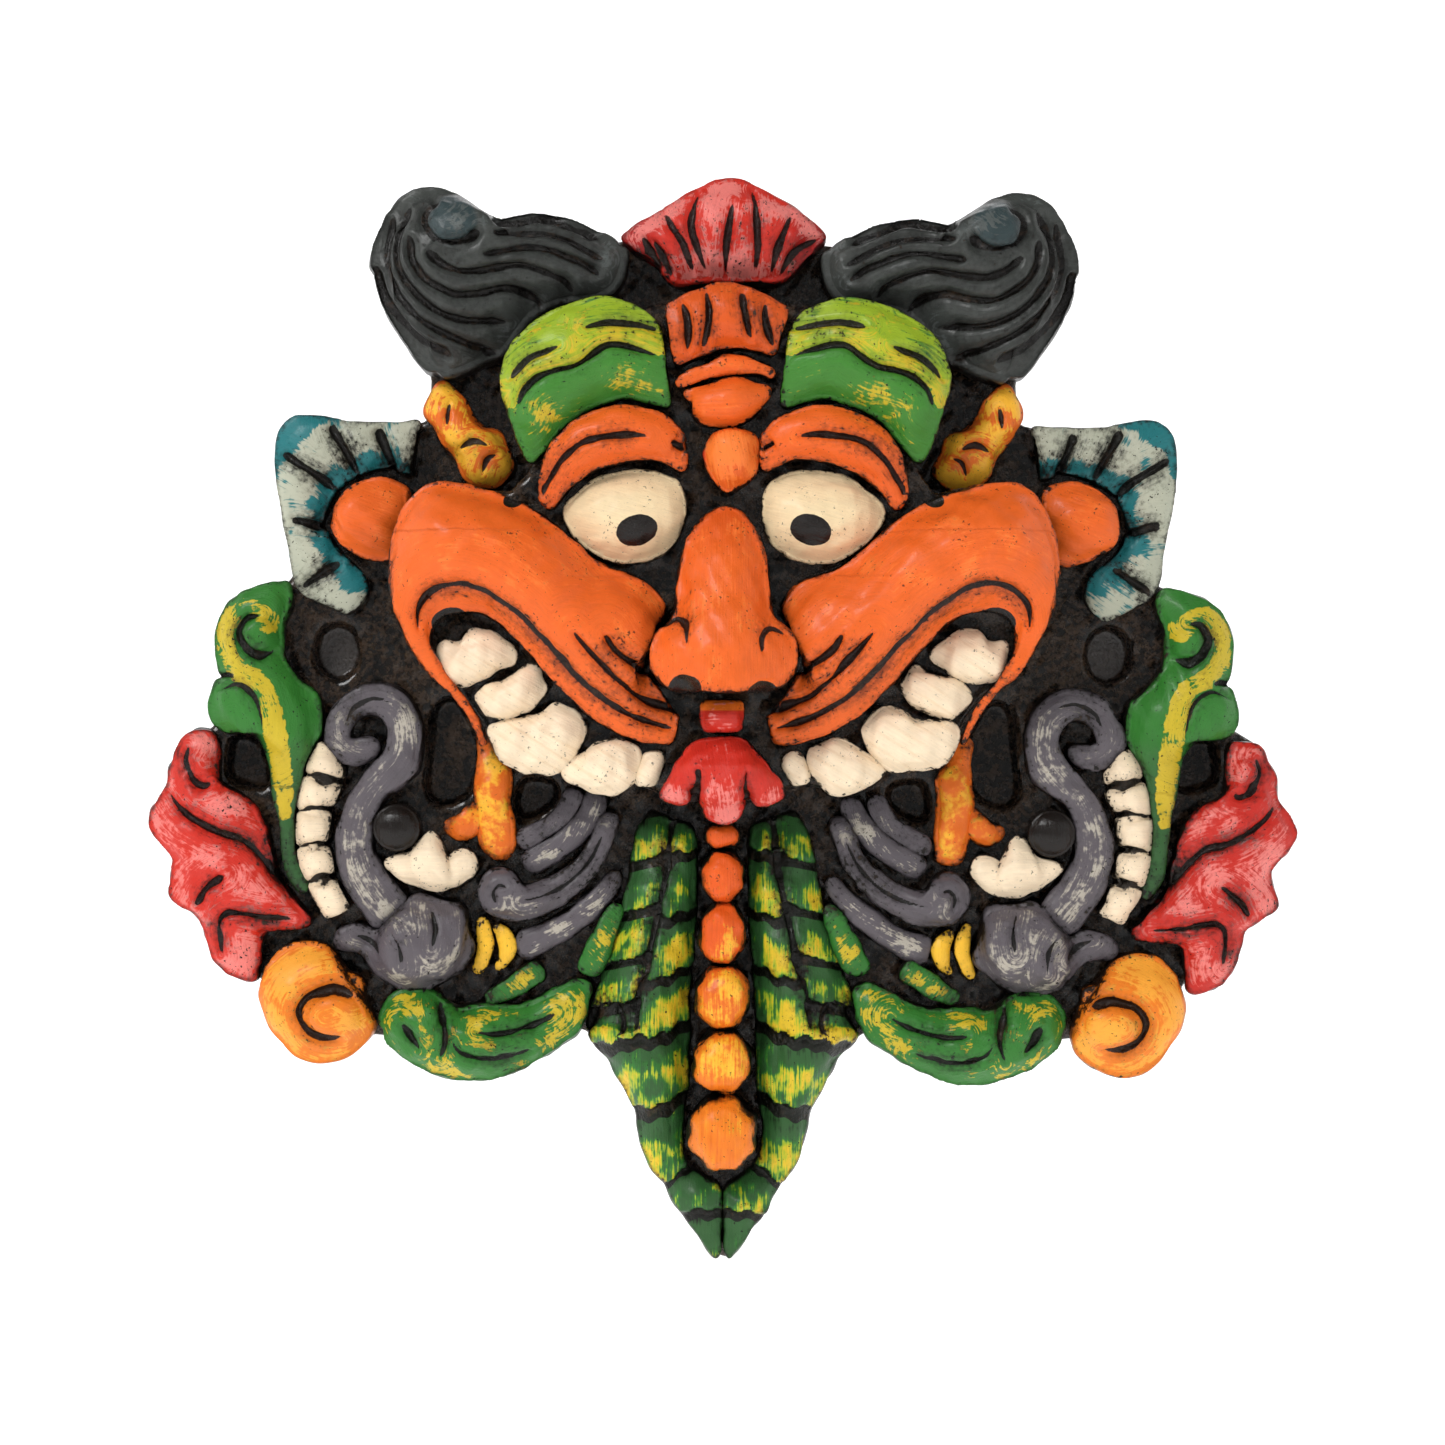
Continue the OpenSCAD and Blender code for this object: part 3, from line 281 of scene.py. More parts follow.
def painted(name, bands, brushed=None, share=0.4, soft=0.16, rough=0.42, dirt_and_shade=0.55, specks=0.7,
            mingle=0.3, edge_wear_and_shade=0.72, streaky=1.4):
    """Old varnished paint: bands of colour by the tint mark, a dry-brushed second coat on the
    crowns, black-brown in the grooves, black-brown on low walls and along edges that is dark
    ground paint and painted shade between the parts, a dark wash that deepens away from the
    crowns and is partly grime and partly painted shade, specks, brush marks and ink."""
    if name in bpy.data.materials:
        return bpy.data.materials[name]
    paints = bpy.context.scene.mask_paints
    finish = Finish(name, **{"Coat Weight": 0.08, "Coat Roughness": 0.14, "IOR": 1.4,
                              "Specular IOR Level": 0.36})
    colour_of = {key: linear(getattr(paints, key)) for key in MaskPaints.__annotations__}
    crown, groove, ink = (finish.mark(key) for key in ("crown", "groove", "ink"))
    ragged = finish.noise(1.3, 4)
    broad = finish.noise(8)
    bristle = finish.bristles(0.55, 7)

    level = finish.mark("tint") + broad * mingle + bristle * mingle * streaky
    stops = [(position, colour_of[key]) for position, key in bands]
    colour = finish.node("ValToRGB", {"stops": stops}, {"Fac": level}).outputs["Color"]
    if brushed:
        dry = (crown * 0.8 + bristle * 1.1 + broad * 1.5 + ragged * 0.8
               + finish.mark("coat") * 1.4 - 1.4).step(1 - share, 1 - share + soft)
        colour = finish.blend(dry * 0.8, colour, colour_of[brushed])
    tone = 1 + broad * 0.28 + bristle * 0.3 + ragged * 0.12
    grey = finish.node("CombineColor", {}, {"Red": tone, "Green": tone, "Blue": tone})
    colour = finish.blend(1.0, colour, grey.outputs[0], "MULTIPLY")
    # Dark wash that deepens away from the crowns, towards edges and grooves: partly grime, partly
    # painted shade.
    dirt_and_shade_mask = (1 - crown + broad * 0.9 + ragged * 1.1 + bristle * 0.7).step(0.12, 0.95) * dirt_and_shade
    colour = finish.blend(dirt_and_shade_mask, colour, colour_of["groove"])
    speck = (finish.noise(0.8, 3) + broad * 0.3 - crown * 0.04).step(0.13, 0.17) * specks
    colour = finish.blend(speck, colour, colour_of["groove"])
    scratch = (finish.bristles(0.3, 3) + ragged * 0.4).step(0.16, 0.21) * (1 - crown * 0.7)
    colour = finish.blend(scratch * specks, colour, colour_of["groove"])
    # Black-brown on low walls and in a ragged band along walls and grooves: dark ground paint and
    # ragged paint edges, and painted shade between the parts.
    low = finish.mark("wall").most(finish.mark("rim") * edge_wear_and_shade)
    cut = (groove + ragged * 0.22 + bristle * 0.1).step(0.38, 0.46)
    dark = (low + ragged * 1.2 + bristle * 0.6).step(0.45, 0.54).most(cut)
    deep = finish.blend((broad * 1.2 + ragged).step(0.05, 0.4) * 0.4, colour_of["groove"],
                        colour_of["ground"])
    colour = finish.blend(dark * 0.97, colour, deep)
    inked = (ink + ragged * 0.35).step(0.45, 0.52)
    colour = finish.blend(inked, colour, colour_of["black"])

    finish.put(finish.shader.inputs["Base Color"], colour)
    finish.put(finish.shader.inputs["Roughness"],
               rough + ragged * 0.25 + bristle * 0.2 + speck * 0.15 - inked * 0.16 - dark * 0.06)
    finish.bump(bristle * 0.45 + ragged * (0.3 + dark * 1.5) + finish.noise(0.45, 2) * 0.16
                - speck * 0.1, 0.4)
    return finish.material


def ground_finish():
    """The black-brown ground: stain under varnish, gouge marks, painted light on the floors of two
    pockets, and bare wood at the back.
    """
    if "Ground" in bpy.data.materials:
        return bpy.data.materials["Ground"]
    paints = bpy.context.scene.mask_paints
    finish = Finish("Ground", **{"Coat Weight": 0.45, "Coat Roughness": 0.16, "IOR": 1.42})
    ragged, broad = finish.noise(1.6, 4), finish.noise(9)
    dusty = (ragged * 1.4 + broad).step(-0.2, 0.2)
    stain = finish.blend(dusty, linear(paints.groove), linear(paints.ground))
    chips = (finish.noise(2.2, 5, rough=0.7) + broad * 0.3).step(0.09, 0.16)
    stain = finish.blend(chips * 0.5, stain, linear(paints.dust))
    # The floors of the two lit pockets turn paler grey: painted light.
    stain = finish.blend(finish.mark("ink") * 0.85, stain, linear(paints.lit_pocket_floor))
    rows = finish.node("Mapping", {}, {"Vector": finish.place, "Scale": (14, 1, 1)})
    grain = (finish.noise(110, 6, rows.outputs[0]) + finish.noise(24, 4, rows.outputs[0]) * 0.6
             + broad * 0.5)
    bare = finish.blend(grain.step(-0.3, 0.3), linear(paints.wood_dark), linear(paints.wood))
    pores = (finish.noise(5, 3, rows.outputs[0]) + ragged * 0.2).step(0.16, 0.24)
    bare = finish.blend(pores * 0.5, bare, linear(paints.wood_dark))
    bare = finish.blend((broad + ragged * 0.6).step(0.1, 0.5) * 0.35, bare, linear(paints.ground))
    back = (finish.mark("back") + ragged * 0.12).step(0.4, 0.6)
    finish.put(finish.shader.inputs["Base Color"], finish.blend(back, stain, bare))
    finish.put(finish.shader.inputs["Roughness"],
               0.27 + ragged * 0.45 + back * 0.39)
    relief = (ragged * 1.6 + broad * 2 + finish.noise(0.6, 3) * 0.4) * (1 - finish.mark("ink") * 0.8)
    finish.bump(relief * (1 - back * 0.8) + grain * back * 0.4, 3)
    return finish.material


def brass_finish():
    """Tarnished, scratched brass."""
    if "Brass" in bpy.data.materials:
        return bpy.data.materials["Brass"]
    paints = bpy.context.scene.mask_paints
    finish = Finish("Brass", Metallic=1.0)
    ragged = finish.noise(2.4, 5)
    dull = linear([c * 0.45 for c in paints.brass])
    finish.put(finish.shader.inputs["Base Color"],
               finish.blend(ragged.step(-0.02, 0.26) * 0.7, linear(paints.brass), dull))
    finish.put(finish.shader.inputs["Roughness"], 0.34 + ragged * 0.5)
    finish.bump(finish.noise(0.5, 3), 0.05)
    return finish.material


def dowel_finish():
    """Turned beech, sawn at the ends."""
    if "Beech" in bpy.data.materials:
        return bpy.data.materials["Beech"]
    paints = bpy.context.scene.mask_paints
    finish = Finish("Beech")
    rows = finish.node("Mapping", {}, {"Vector": finish.place, "Scale": (8, 1, 8)})
    grain = finish.noise(6, 4, rows.outputs[0])
    finish.put(finish.shader.inputs["Base Color"],
               finish.blend(grain.step(-0.1, 0.2), linear(paints.wood_dark), linear(paints.wood)))
    finish.put(finish.shader.inputs["Roughness"], 0.62 + grain * 0.3)
    finish.bump(grain, 0.1)
    return finish.material


# ---------- tool marks ----------

def flowing(points, per=5):
    """A smooth curve through a few points."""
    last = len(points) - 1
    made = []
    for i in range(last):
        p0, p1, p2, p3 = (points[min(max(j, 0), last)] for j in range(i - 1, i + 3))
        for k in range(per):
            t = k / per
            made.append((2 * p1 + (p2 - p0) * t + (2 * p0 - 5 * p1 + 4 * p2 - p3) * t * t
                         + (3 * p1 - p0 - 3 * p2 + p3) * t ** 3) / 2)
    return np.array(made + [points[last]])


def near(points, line, reach):
    """Distance of each point from a line, and how far along it the nearest spot is, 0 to 1."""
    gap, along = np.full(len(points), NOWHERE), np.zeros(len(points))
    inside = (points >= line.min(0) - reach) & (points <= line.max(0) + reach)
    picked = np.flatnonzero(inside.all(1))
    if not len(picked):
        return gap, along
    start, step = line[:-1], np.diff(line, axis=0)
    size = (step * step).sum(1) + 1e-9
    away = points[picked][:, None] - start[None]
    t = np.clip((away * step).sum(2) / size, 0, 1)
    gaps = np.linalg.norm(away - t[..., None] * step, axis=2)
    best, rows = gaps.argmin(1), np.arange(len(picked))
    run = np.concatenate([[0], np.cumsum(np.sqrt(size))])
    gap[picked] = gaps[rows, best]
    along[picked] = (run[best] + t[rows, best] * np.sqrt(size[best])) / run[-1]
    return gap, along


def eased(value, low, high):
    """0 below low, 1 above high, and a smooth rise between."""
    t = np.clip((value - low) / (high - low), 0, 1)
    return t * t * (3 - 2 * t)


def merged_copy(node, whole_faces=False):
    """A copy of a node's mesh with its doubles merged, and its flat faces if asked."""
    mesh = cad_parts[node].data.copy()
    cleaned = bmesh.new()
    cleaned.from_mesh(mesh)
    bmesh.ops.remove_doubles(cleaned, verts=cleaned.verts, dist=1e-6)
    if whole_faces:
        bmesh.ops.dissolve_limit(cleaned, angle_limit=math.radians(0.5), verts=cleaned.verts,
                                 edges=cleaned.edges)
    cleaned.to_mesh(mesh)
    cleaned.free()
    return mesh


def rim_line():
    """The outline of the back panel's back face, as starts and ends of straight runs in mm."""
    recess_side, recess_foot, recess_top = 0.02, 0.05, 0.108
    mesh = merged_copy("back_panel")
    shape = bmesh.new()
    shape.from_mesh(mesh)
    runs = []
    for edge in shape.edges:
        flat = all(abs(v.co.y) < 1e-5 for v in edge.verts)
        backs = [face for face in edge.link_faces if face.normal.y > 0.9]
        recess = all(abs(v.co.x) < recess_side and recess_foot < v.co.z < recess_top
                     for v in edge.verts)
        if flat and len(backs) == 1 and not recess:
            runs.append([(v.co.x / MM, v.co.z / MM) for v in edge.verts])
    shape.free()
    bpy.data.meshes.remove(mesh)
    return np.array(runs)


RIM = rim_line()


class Carving:
    """A solid of the frame as an even mesh, with the marks that the tools leave in it.

    Marks are drawn for the left side. On the right they are mirrored, then moved by the drift."""

    def __init__(self, node, size, soften=14, fair=0, mesh=None, swell=1.0, drift=(0, 0)):
        self.node, self.drift = node, drift
        self.mirrored = node.endswith("_right")
        blank = bpy.data.objects.new("blank", mesh or merged_copy(node))
        bpy.context.scene.collection.objects.link(blank)
        remesh = blank.modifiers.new("Even mesh", "REMESH")
        remesh.mode, remesh.voxel_size = "VOXEL", size * MM
        graph = bpy.context.evaluated_depsgraph_get()
        self.mesh = bpy.data.meshes.new_from_object(blank.evaluated_get(graph))
        bpy.data.objects.remove(blank)
        count = len(self.mesh.vertices)
        self.points = np.empty(count * 3)
        self.mesh.vertices.foreach_get("co", self.points)
        self.points = self.points.reshape(-1, 3) / MM
        self.edges = np.empty(len(self.mesh.edges) * 2, int)
        self.mesh.edges.foreach_get("vertices", self.edges)
        self.edges = self.edges.reshape(-1, 2)
        self.foot = self.points[:, 1].max()
        self.marks = {key: np.zeros(count)
                      for key in ("groove", "ink", "tint", "back", "shade", "beside")}
        self.marks["coat"] = np.ones(count)
        self.gap = np.full(count, NOWHERE)
        self.soften(soften)
        if fair:
            self.fair(fair)
        away = np.full(count, NOWHERE)
        low, high = self.flat.min(0) - 5, self.flat.max(0) + 5
        for run in RIM:
            if (run.max(0) > low).all() and (run.min(0) < high).all():
                away = np.minimum(away, near(self.flat, run, 6)[0])
        self.outer = 1 - eased(away, 1.6, 3.6)
        self.swell(swell)

    @property
    def flat(self):
        """The points in the plane of the face."""
        return self.points[:, [0, 2]]

    @property
    def height(self):
        """How far each point stands off the foot."""
        return self.foot - self.points[:, 1]

    def drawn(self, points):
        """Drawn points at this mask's size and on this carving's side."""
        points = np.array(points, float)
        if self.mirrored:
            points = self.drift + points * (-1, 1)
        return points * SCALE

    def average(self, values, weight=None):
        """Mean of the neighbours of each point."""
        a, b = self.edges.T
        weight = np.ones(len(self.points)) if weight is None else weight
        total = np.bincount(a, weight[b] * values[b], len(weight)) + np.bincount(
            b, weight[a] * values[a], len(weight))
        share = np.bincount(a, weight[b], len(weight)) + np.bincount(b, weight[a], len(weight))
        return np.where(share > 1e-6, total / np.maximum(share, 1e-6), values)

    def soften(self, rounds):
        """Rounds every edge that stands clear of the foot."""
        free = 0.5 * np.clip(self.height / 2.5, 0, 1)
        for _ in range(rounds):
            for axis in range(3):
                column = self.points[:, axis]
                self.points[:, axis] = column + free * (self.average(column) - column)

    def fair(self, rounds):
        """Smooths the height of the face without pulling in its outline."""
        weight = eased(-self.normals()[:, 1], 0.2, 0.5)
        for _ in range(rounds):
            y = self.points[:, 1]
            self.points[:, 1] = y + 0.5 * weight * (self.average(y, weight) - y)

    def swell(self, times):
        """Gives back in the plane of the face what rounding took from the outline. More than
        that closes the gap to a neighbour, and leaves the mask's own outline where it is."""
        once = bpy.context.scene.mask_carving.swell
        amount = once * np.where(self.outer > 0, 1 + (times - 1) * (1 - self.outer), times)
        out = self.normals()
        out[:, 1] = 0
        self.points += out * (amount * np.clip(self.height / 2, 0, 1))[:, None]

    def coat_along(self, line, width):
        """Keeps the dry-brushed coat to a ragged band along this line."""
        gap = near(self.flat, flowing(self.drawn(line)), 4 * width)[0]
        self.marks["coat"] = 1 - eased(gap, 0.6 * width, 1.4 * width)

    def follow(self, line):
        """Brush marks run along this line."""
        self.gap = near(self.flat, flowing(self.drawn(line)), 20)[0]

    def normals(self):
        """The normals of the points where they are now."""
        self.mesh.vertices.foreach_set("co", (self.points * MM).ravel())
        self.mesh.update()
        normals = np.empty(len(self.points) * 3)
        self.mesh.vertices.foreach_get("normal", normals)
        return normals.reshape(-1, 3)

    def cut(self, strokes, depth=None, width=None, taper=0.12, shoulder=0.4):
        """Cuts V grooves with rounded shoulders along the strokes. The taper is the share of a
        stroke that thins out, at both ends or as a pair for its start and its end."""
        carving = bpy.context.scene.mask_carving
        depth = carving.groove_depth if depth is None else depth
        width = carving.gouge if width is None else width
        tapers = taper if isinstance(taper, tuple) else (taper, taper)
        sunk = np.zeros(len(self.points))
        for stroke in strokes:
            line = flowing(self.drawn(stroke))
            gap, along = near(self.flat, line, 14)
            ends = np.clip(np.minimum(along / tapers[0], (1 - along) / tapers[1]), 0, 1) ** 0.6
            wide = width * (0.55 + 0.45 * ends)
            sharp = np.exp(-(gap / wide) ** 2) * (0.35 + 0.65 * ends)
            broad = np.exp(-(gap / (3 * wide)) ** 2) * ends
            sunk = np.maximum(sunk, depth * (sharp + shoulder * broad) / (1 + shoulder))
            self.marks["groove"] = np.maximum(
                self.marks["groove"], np.exp(-(gap / wide) ** 2) * np.sqrt(ends))
            self.marks["shade"] = np.maximum(self.marks["shade"], broad * 0.75)
            self.marks["beside"] = np.maximum(
                self.marks["beside"], np.exp(-(gap / (2.2 * wide)) ** 2) * ends)
            self.gap = np.minimum(self.gap, gap)
        clear = np.clip(self.height / 3, 0, 1)
        self.points -= self.normals() * (sunk * clear)[:, None]

    def press(self, centre, radius, rise, flat=False):
        """Raises a round boss, or sinks a round hollow if rise is below 0."""
        spot = self.drawn([centre])[0]
        share = np.clip(np.linalg.norm(self.flat - spot, axis=1) / radius, 0, 1)
        bell = (1 - share ** 4) if flat else (1 - share ** 2) ** 2
        self.points[:, 1] -= rise * bell * np.clip(self.height / 4, 0, 1)
        return bell

    def stain(self, centre, radii, turn=0):
        """Black paint in an oval."""
        spot = self.drawn([centre])[0]
        angle = math.radians(-turn if self.mirrored else turn)
        away = self.flat - spot
        u = away[:, 0] * math.cos(angle) + away[:, 1] * math.sin(angle)
        v = away[:, 1] * math.cos(angle) - away[:, 0] * math.sin(angle)
        reach = np.hypot(u / radii[0], v / radii[1])
        self.marks["ink"] = np.maximum(self.marks["ink"], 1 - eased(reach, 0.8, 1.25))

    def waver(self, amount=None, seed=1):
        """The unevenness that a knife leaves."""
        amount = bpy.context.scene.mask_carving.waver if amount is None else amount
        rng = np.random.default_rng(seed)
        sway = np.zeros(len(self.points))
        waves, shortest, longest = 14, 4, 15
        for _ in range(waves):
            run = rng.normal(size=3)
            run *= 2 * math.pi / rng.uniform(shortest, longest) / np.linalg.norm(run)
            sway += np.sin(self.points @ run + rng.uniform(0, 2 * math.pi))
        clear = np.clip(self.height / 4, 0, 1)
        usual_sway = 3.5
        self.points += self.normals() * (sway * amount / usual_sway * clear)[:, None]

    def place_marks(self, brush):
        """Works out where paint lies thick, where it wears, where shade is painted along walls and
        grooves, and how the brush ran.
        """
        facing = -self.normals()[:, 1]
        x, z = self.flat.T
        outer = self.outer
        # Sideways walls between pieces, and the foot of each piece: dark ground paint and painted shade
        # between the parts.
        wall = (1 - eased(facing, 0.02, 0.3)) * (1 - 0.9 * outer) * (1 - self.marks["beside"])
        foot = 1 - eased(self.height, 0.4, 2.2)
        # Nearness to walls and to the shade beside grooves, spread inwards: it sets the dry-brushed
        # crowns and the painted shade near edges.
        edge = np.maximum(1 - eased(facing, 0.1, 0.6), self.marks["shade"])
        spread, fading = 24, 0.97
        for _ in range(spread):
            edge = np.maximum(edge * fading, self.average(edge))
        edge = np.clip(edge, 0, 1)
        rim = edge * (1 - 0.75 * outer) * (1 - 0.45 * self.marks["beside"])
        turn = math.radians(brush or 0)
        sweep = x * math.cos(turn) + z * math.sin(turn)
        self.marks.update(wall=np.maximum(wall, foot), crown=1 - edge, rim=rim,
                          flow=sweep if brush is not None else np.minimum(self.gap, 30))

    def finish(self, material, slot, brush=None):
        """Turns the carving into a painted piece that stands for its node. The brush ran at that
        angle, or along the grooves."""
        self.place_marks(brush)
        self.normals()
        for key in ("groove", "wall", "crown", "rim", "tint", "ink", "flow", "back", "coat"):
            layer = self.mesh.attributes.new(key, "FLOAT", "POINT")
            layer.data.foreach_set("value", self.marks[key].astype(np.float32))
        self.mesh.materials.clear()
        self.mesh.materials.append(material)
        self.mesh.shade_smooth()
        show(self.mesh, "carved_" + self.node, self.node)


def show(mesh, name, node, body="mask"):
    """Puts a finished mesh in the scene in the place of its node."""
    piece = bpy.data.objects.new(name, mesh)
    bpy.context.scene.collection.objects.link(piece)
    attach(piece, body)
    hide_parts(node)
    return piece


# ---------- repeated parts ----------

def loose_boxes(node):
    """Middle and size, in metres, of each separate solid of a node, from the top down."""
    shape = bmesh.new()
    mesh = merged_copy(node)
    shape.from_mesh(mesh)
    boxes, left = [], set(shape.verts)
    while left:
        found, queue = [], [left.pop()]
        while queue:
            vert = queue.pop()
            found.append(vert.co.copy())
            for edge in vert.link_edges:
                other = edge.other_vert(vert)
                if other in left:
                    left.discard(other)
                    queue.append(other)
        found = np.array(found)
        low, high = found.min(0), found.max(0)
        boxes.append(((low + high) / 2, high - low))
    shape.free()
    bpy.data.meshes.remove(mesh)
    return sorted(boxes, key=lambda box: (-round(box[0][2], 4), box[0][0]))


def lathe(profile, sides, shape=None):
    """A closed turned solid about the y axis, from (y, radius) points that end near the axis.
    The shape gives the share of the radius at each angle."""
    mesh = bpy.data.meshes.new("turned")
    made = bmesh.new()
    rings = []
    for y, radius in profile:
        rings.append([made.verts.new((radius * math.cos(a) * (shape(a) if shape else 1), y,
                                      radius * math.sin(a) * (shape(a) if shape else 1)))
                      for a in (2 * math.pi * k / sides for k in range(sides))])
    for one, two in zip(rings, rings[1:]):
        for k in range(sides):
            made.faces.new((one[k], one[(k + 1) % sides], two[(k + 1) % sides], two[k]))
    made.faces.new(rings[0])
    made.faces.new(rings[-1])
    bmesh.ops.recalc_face_normals(made, faces=made.faces)
    made.to_mesh(mesh)
    made.free()
    return mesh


def parts_tree():
    """Puts a part on each point, scaled by the point's size, with a small random turn."""
    tree = bpy.data.node_groups.new("Repeated parts", "GeometryNodeTree")
    sockets = tree.interface
    for name, kind in (("Geometry", "Geometry"), ("Part", "Object"), ("Turn", "Float"),
                       ("Growth", "Float"), ("Seed", "Int"), ("Material", "Material")):
        sockets.new_socket(name, in_out="INPUT", socket_type="NodeSocket" + kind)
    sockets.new_socket("Geometry", in_out="OUTPUT", socket_type="NodeSocketGeometry")
    nodes, link = tree.nodes, tree.links.new
    inputs, outputs = nodes.new("NodeGroupInput"), nodes.new("NodeGroupOutput")
    part = nodes.new("GeometryNodeObjectInfo")
    size = nodes.new("GeometryNodeInputNamedAttribute")
    size.data_type = "FLOAT_VECTOR"
    size.inputs["Name"].default_value = "size"
    grown = nodes.new("ShaderNodeVectorMath")
    grown.operation = "SCALE"
    angle = nodes.new("FunctionNodeRandomValue")
    lowest = nodes.new("ShaderNodeMath")
    lowest.operation = "MULTIPLY"
    lowest.inputs[1].default_value = -1
    turn = nodes.new("ShaderNodeCombineXYZ")
    spread = nodes.new("GeometryNodeInstanceOnPoints")
    solid = nodes.new("GeometryNodeRealizeInstances")
    coated = nodes.new("GeometryNodeSetMaterial")
    link(inputs.outputs["Part"], part.inputs["Object"])
    link(inputs.outputs["Geometry"], spread.inputs["Points"])
    link(part.outputs["Geometry"], spread.inputs["Instance"])
    link(size.outputs["Attribute"], grown.inputs[0])
    link(inputs.outputs["Growth"], grown.inputs["Scale"])
    link(grown.outputs[0], spread.inputs["Scale"])
    link(inputs.outputs["Turn"], lowest.inputs[0])
    link(lowest.outputs[0], angle.inputs[2])
    link(inputs.outputs["Turn"], angle.inputs[3])
    link(inputs.outputs["Seed"], angle.inputs["Seed"])
    link(angle.outputs[1], turn.inputs["Y"])
    link(turn.outputs[0], spread.inputs["Rotation"])
    link(spread.outputs["Instances"], solid.inputs[0])
    link(solid.outputs[0], coated.inputs["Geometry"])
    link(inputs.outputs["Material"], coated.inputs["Material"])
    link(coated.outputs[0], outputs.inputs[0])
    return tree


def repeated(node, part_mesh, material, turn, seed, growth=1.0):
    """A plain mesh with the part in the place of every solid of a node, each turned at random
    by up to so many degrees."""
    boxes = loose_boxes(node)
    points = bpy.data.meshes.new(node + "_points")
    points.from_pydata([box[0] for box in boxes], [], [])
    sizes = points.attributes.new("size", "FLOAT_VECTOR", "POINT")
    sizes.data.foreach_set("vector", np.array([box[1] for box in boxes], np.float32).ravel())
    holder = bpy.data.objects.new(node + "_holder", points)
    part = bpy.data.objects.new(node + "_part", part_mesh)
    for obj in (holder, part):
        bpy.context.scene.collection.objects.link(obj)
    tree = bpy.data.node_groups.get("Repeated parts") or parts_tree()
    modifier = holder.modifiers.new("Parts", "NODES")
    modifier.node_group = tree
    for key, value in {"Part": part, "Turn": math.radians(turn), "Growth": growth, "Seed": seed,
                       "Material": material}.items():
        modifier[tree.interface.items_tree[key].identifier] = value
    graph = bpy.context.evaluated_depsgraph_get()
    mesh = bpy.data.meshes.new_from_object(holder.evaluated_get(graph))
    holder.modifiers.remove(modifier)
    bpy.data.objects.remove(holder)
    bpy.data.objects.remove(part)
    return mesh


# ---------- drawn tool marks ----------
# In mm, for the left side, or for both on a carving that crosses the middle.

HAIR_STRANDS = [
    [(-57, 124.6), (-53, 125), (-48, 125.9), (-42.8, 126.2), (-38.2, 124.4), (-33.5, 122.6),
     (-30.5, 120.6)],
    [(-56.6, 121.1), (-52, 121.8), (-48, 122.1), (-42.8, 121.6), (-37.6, 119.8), (-33, 117.5),
     (-29, 115)],
    [(-59.2, 115.4), (-54, 116.2), (-48, 117.5), (-42.8, 117), (-37.6, 115), (-33, 113),
     (-30, 110.8)],
    [(-73.5, 116.5), (-70, 113.4), (-65.3, 111.3), (-60.2, 111.1), (-55, 111.8), (-50, 112.4),
     (-44.8, 110.8), (-40.2, 108.8), (-37, 106.2)],
    [(-78.2, 121), (-77.6, 115), (-74.6, 110.3), (-70, 107.2), (-65.3, 105.4), (-59.2, 105.7),
     (-54, 106.7), (-49, 105.7), (-44.8, 103.6)],
    [(-78.2, 128.8), (-81.2, 123), (-82, 117.5), (-81, 112.4), (-78.2, 107.7), (-74, 103.6),
     (-69, 100.6), (-63.3, 99), (-57, 99), (-53, 99.3)],
    [(-82.5, 126.2), (-84, 120.6), (-84.6, 115.4), (-83.5, 110.3), (-81, 105.2), (-77, 100.6),
     (-72, 97), (-66.4, 94.4), (-61.2, 92.4), (-56, 91.8)],
    [(-87, 114), (-86.4, 109.3), (-84.3, 104.2), (-80.7, 99), (-76.6, 95), (-71.5, 91.6),
     (-67, 90.3)]]
HAIR_CURL = [(-70, 129.8), (-73, 128.3), (-74.6, 125.7), (-74.3, 122.6), (-72.5, 119.5),
             (-69.4, 117.7), (-65.3, 117.5), (-61.7, 119), (-59.7, 122)]
CREST_FLUTES = [
    [(-14.8, 127.7), (-12.6, 123), (-9.9, 118.5), (-7.2, 111.3)],
    [(-6, 132), (-7.6, 127.4), (-8, 123), (-6.3, 117.6), (-4, 111.7)],
    [(2.7, 129.7), (1.8, 124.3), (1, 117.6), (0.7, 110.8)],
    [(7.6, 133.3), (8.5, 128.3), (8.7, 122), (8.7, 116.7), (8, 111.3)],
    [(17.5, 127), (15.7, 122), (13.7, 116.7), (12, 110.8)],
    [(24.2, 120.7), (19.7, 117.6), (16.6, 114), (14.3, 110.8)],
    [(-20.6, 121.2), (-18.4, 116.2), (-15.3, 112.2)],
    [(-17.5, 119.8), (-15.7, 115.8), (-12.6, 110.8)]]
FOREHEAD_LINES = [
    [(-10.3, 104), (-9.2, 98.7), (-8.5, 91)], [(-4.3, 106.8), (-3.6, 101), (-3.8, 95), (-4.5, 91.5)],
    [(5.2, 106.8), (5.8, 101), (6.3, 96), (7.2, 93.8)], [(10.8, 103.7), (11.2, 98.7), (12.6, 92)]]
BROW_UPPER = [
    [(-53, 84.7), (-51, 87.7), (-47.4, 90.3), (-42.8, 91.8), (-40.2, 92.6)],
    [(-34, 97.5), (-29.4, 98.8), (-24.3, 99), (-19.2, 98.3), (-15.6, 97)]]
BROW_LOWER = [(-51, 77.5), (-49.4, 81.6), (-45.8, 84.7), (-41.7, 86.2), (-36.6, 87.2), (-33, 89.3),
              (-29, 92.4), (-25.3, 92.9), (-20.2, 91.8), (-15.6, 90.3)]
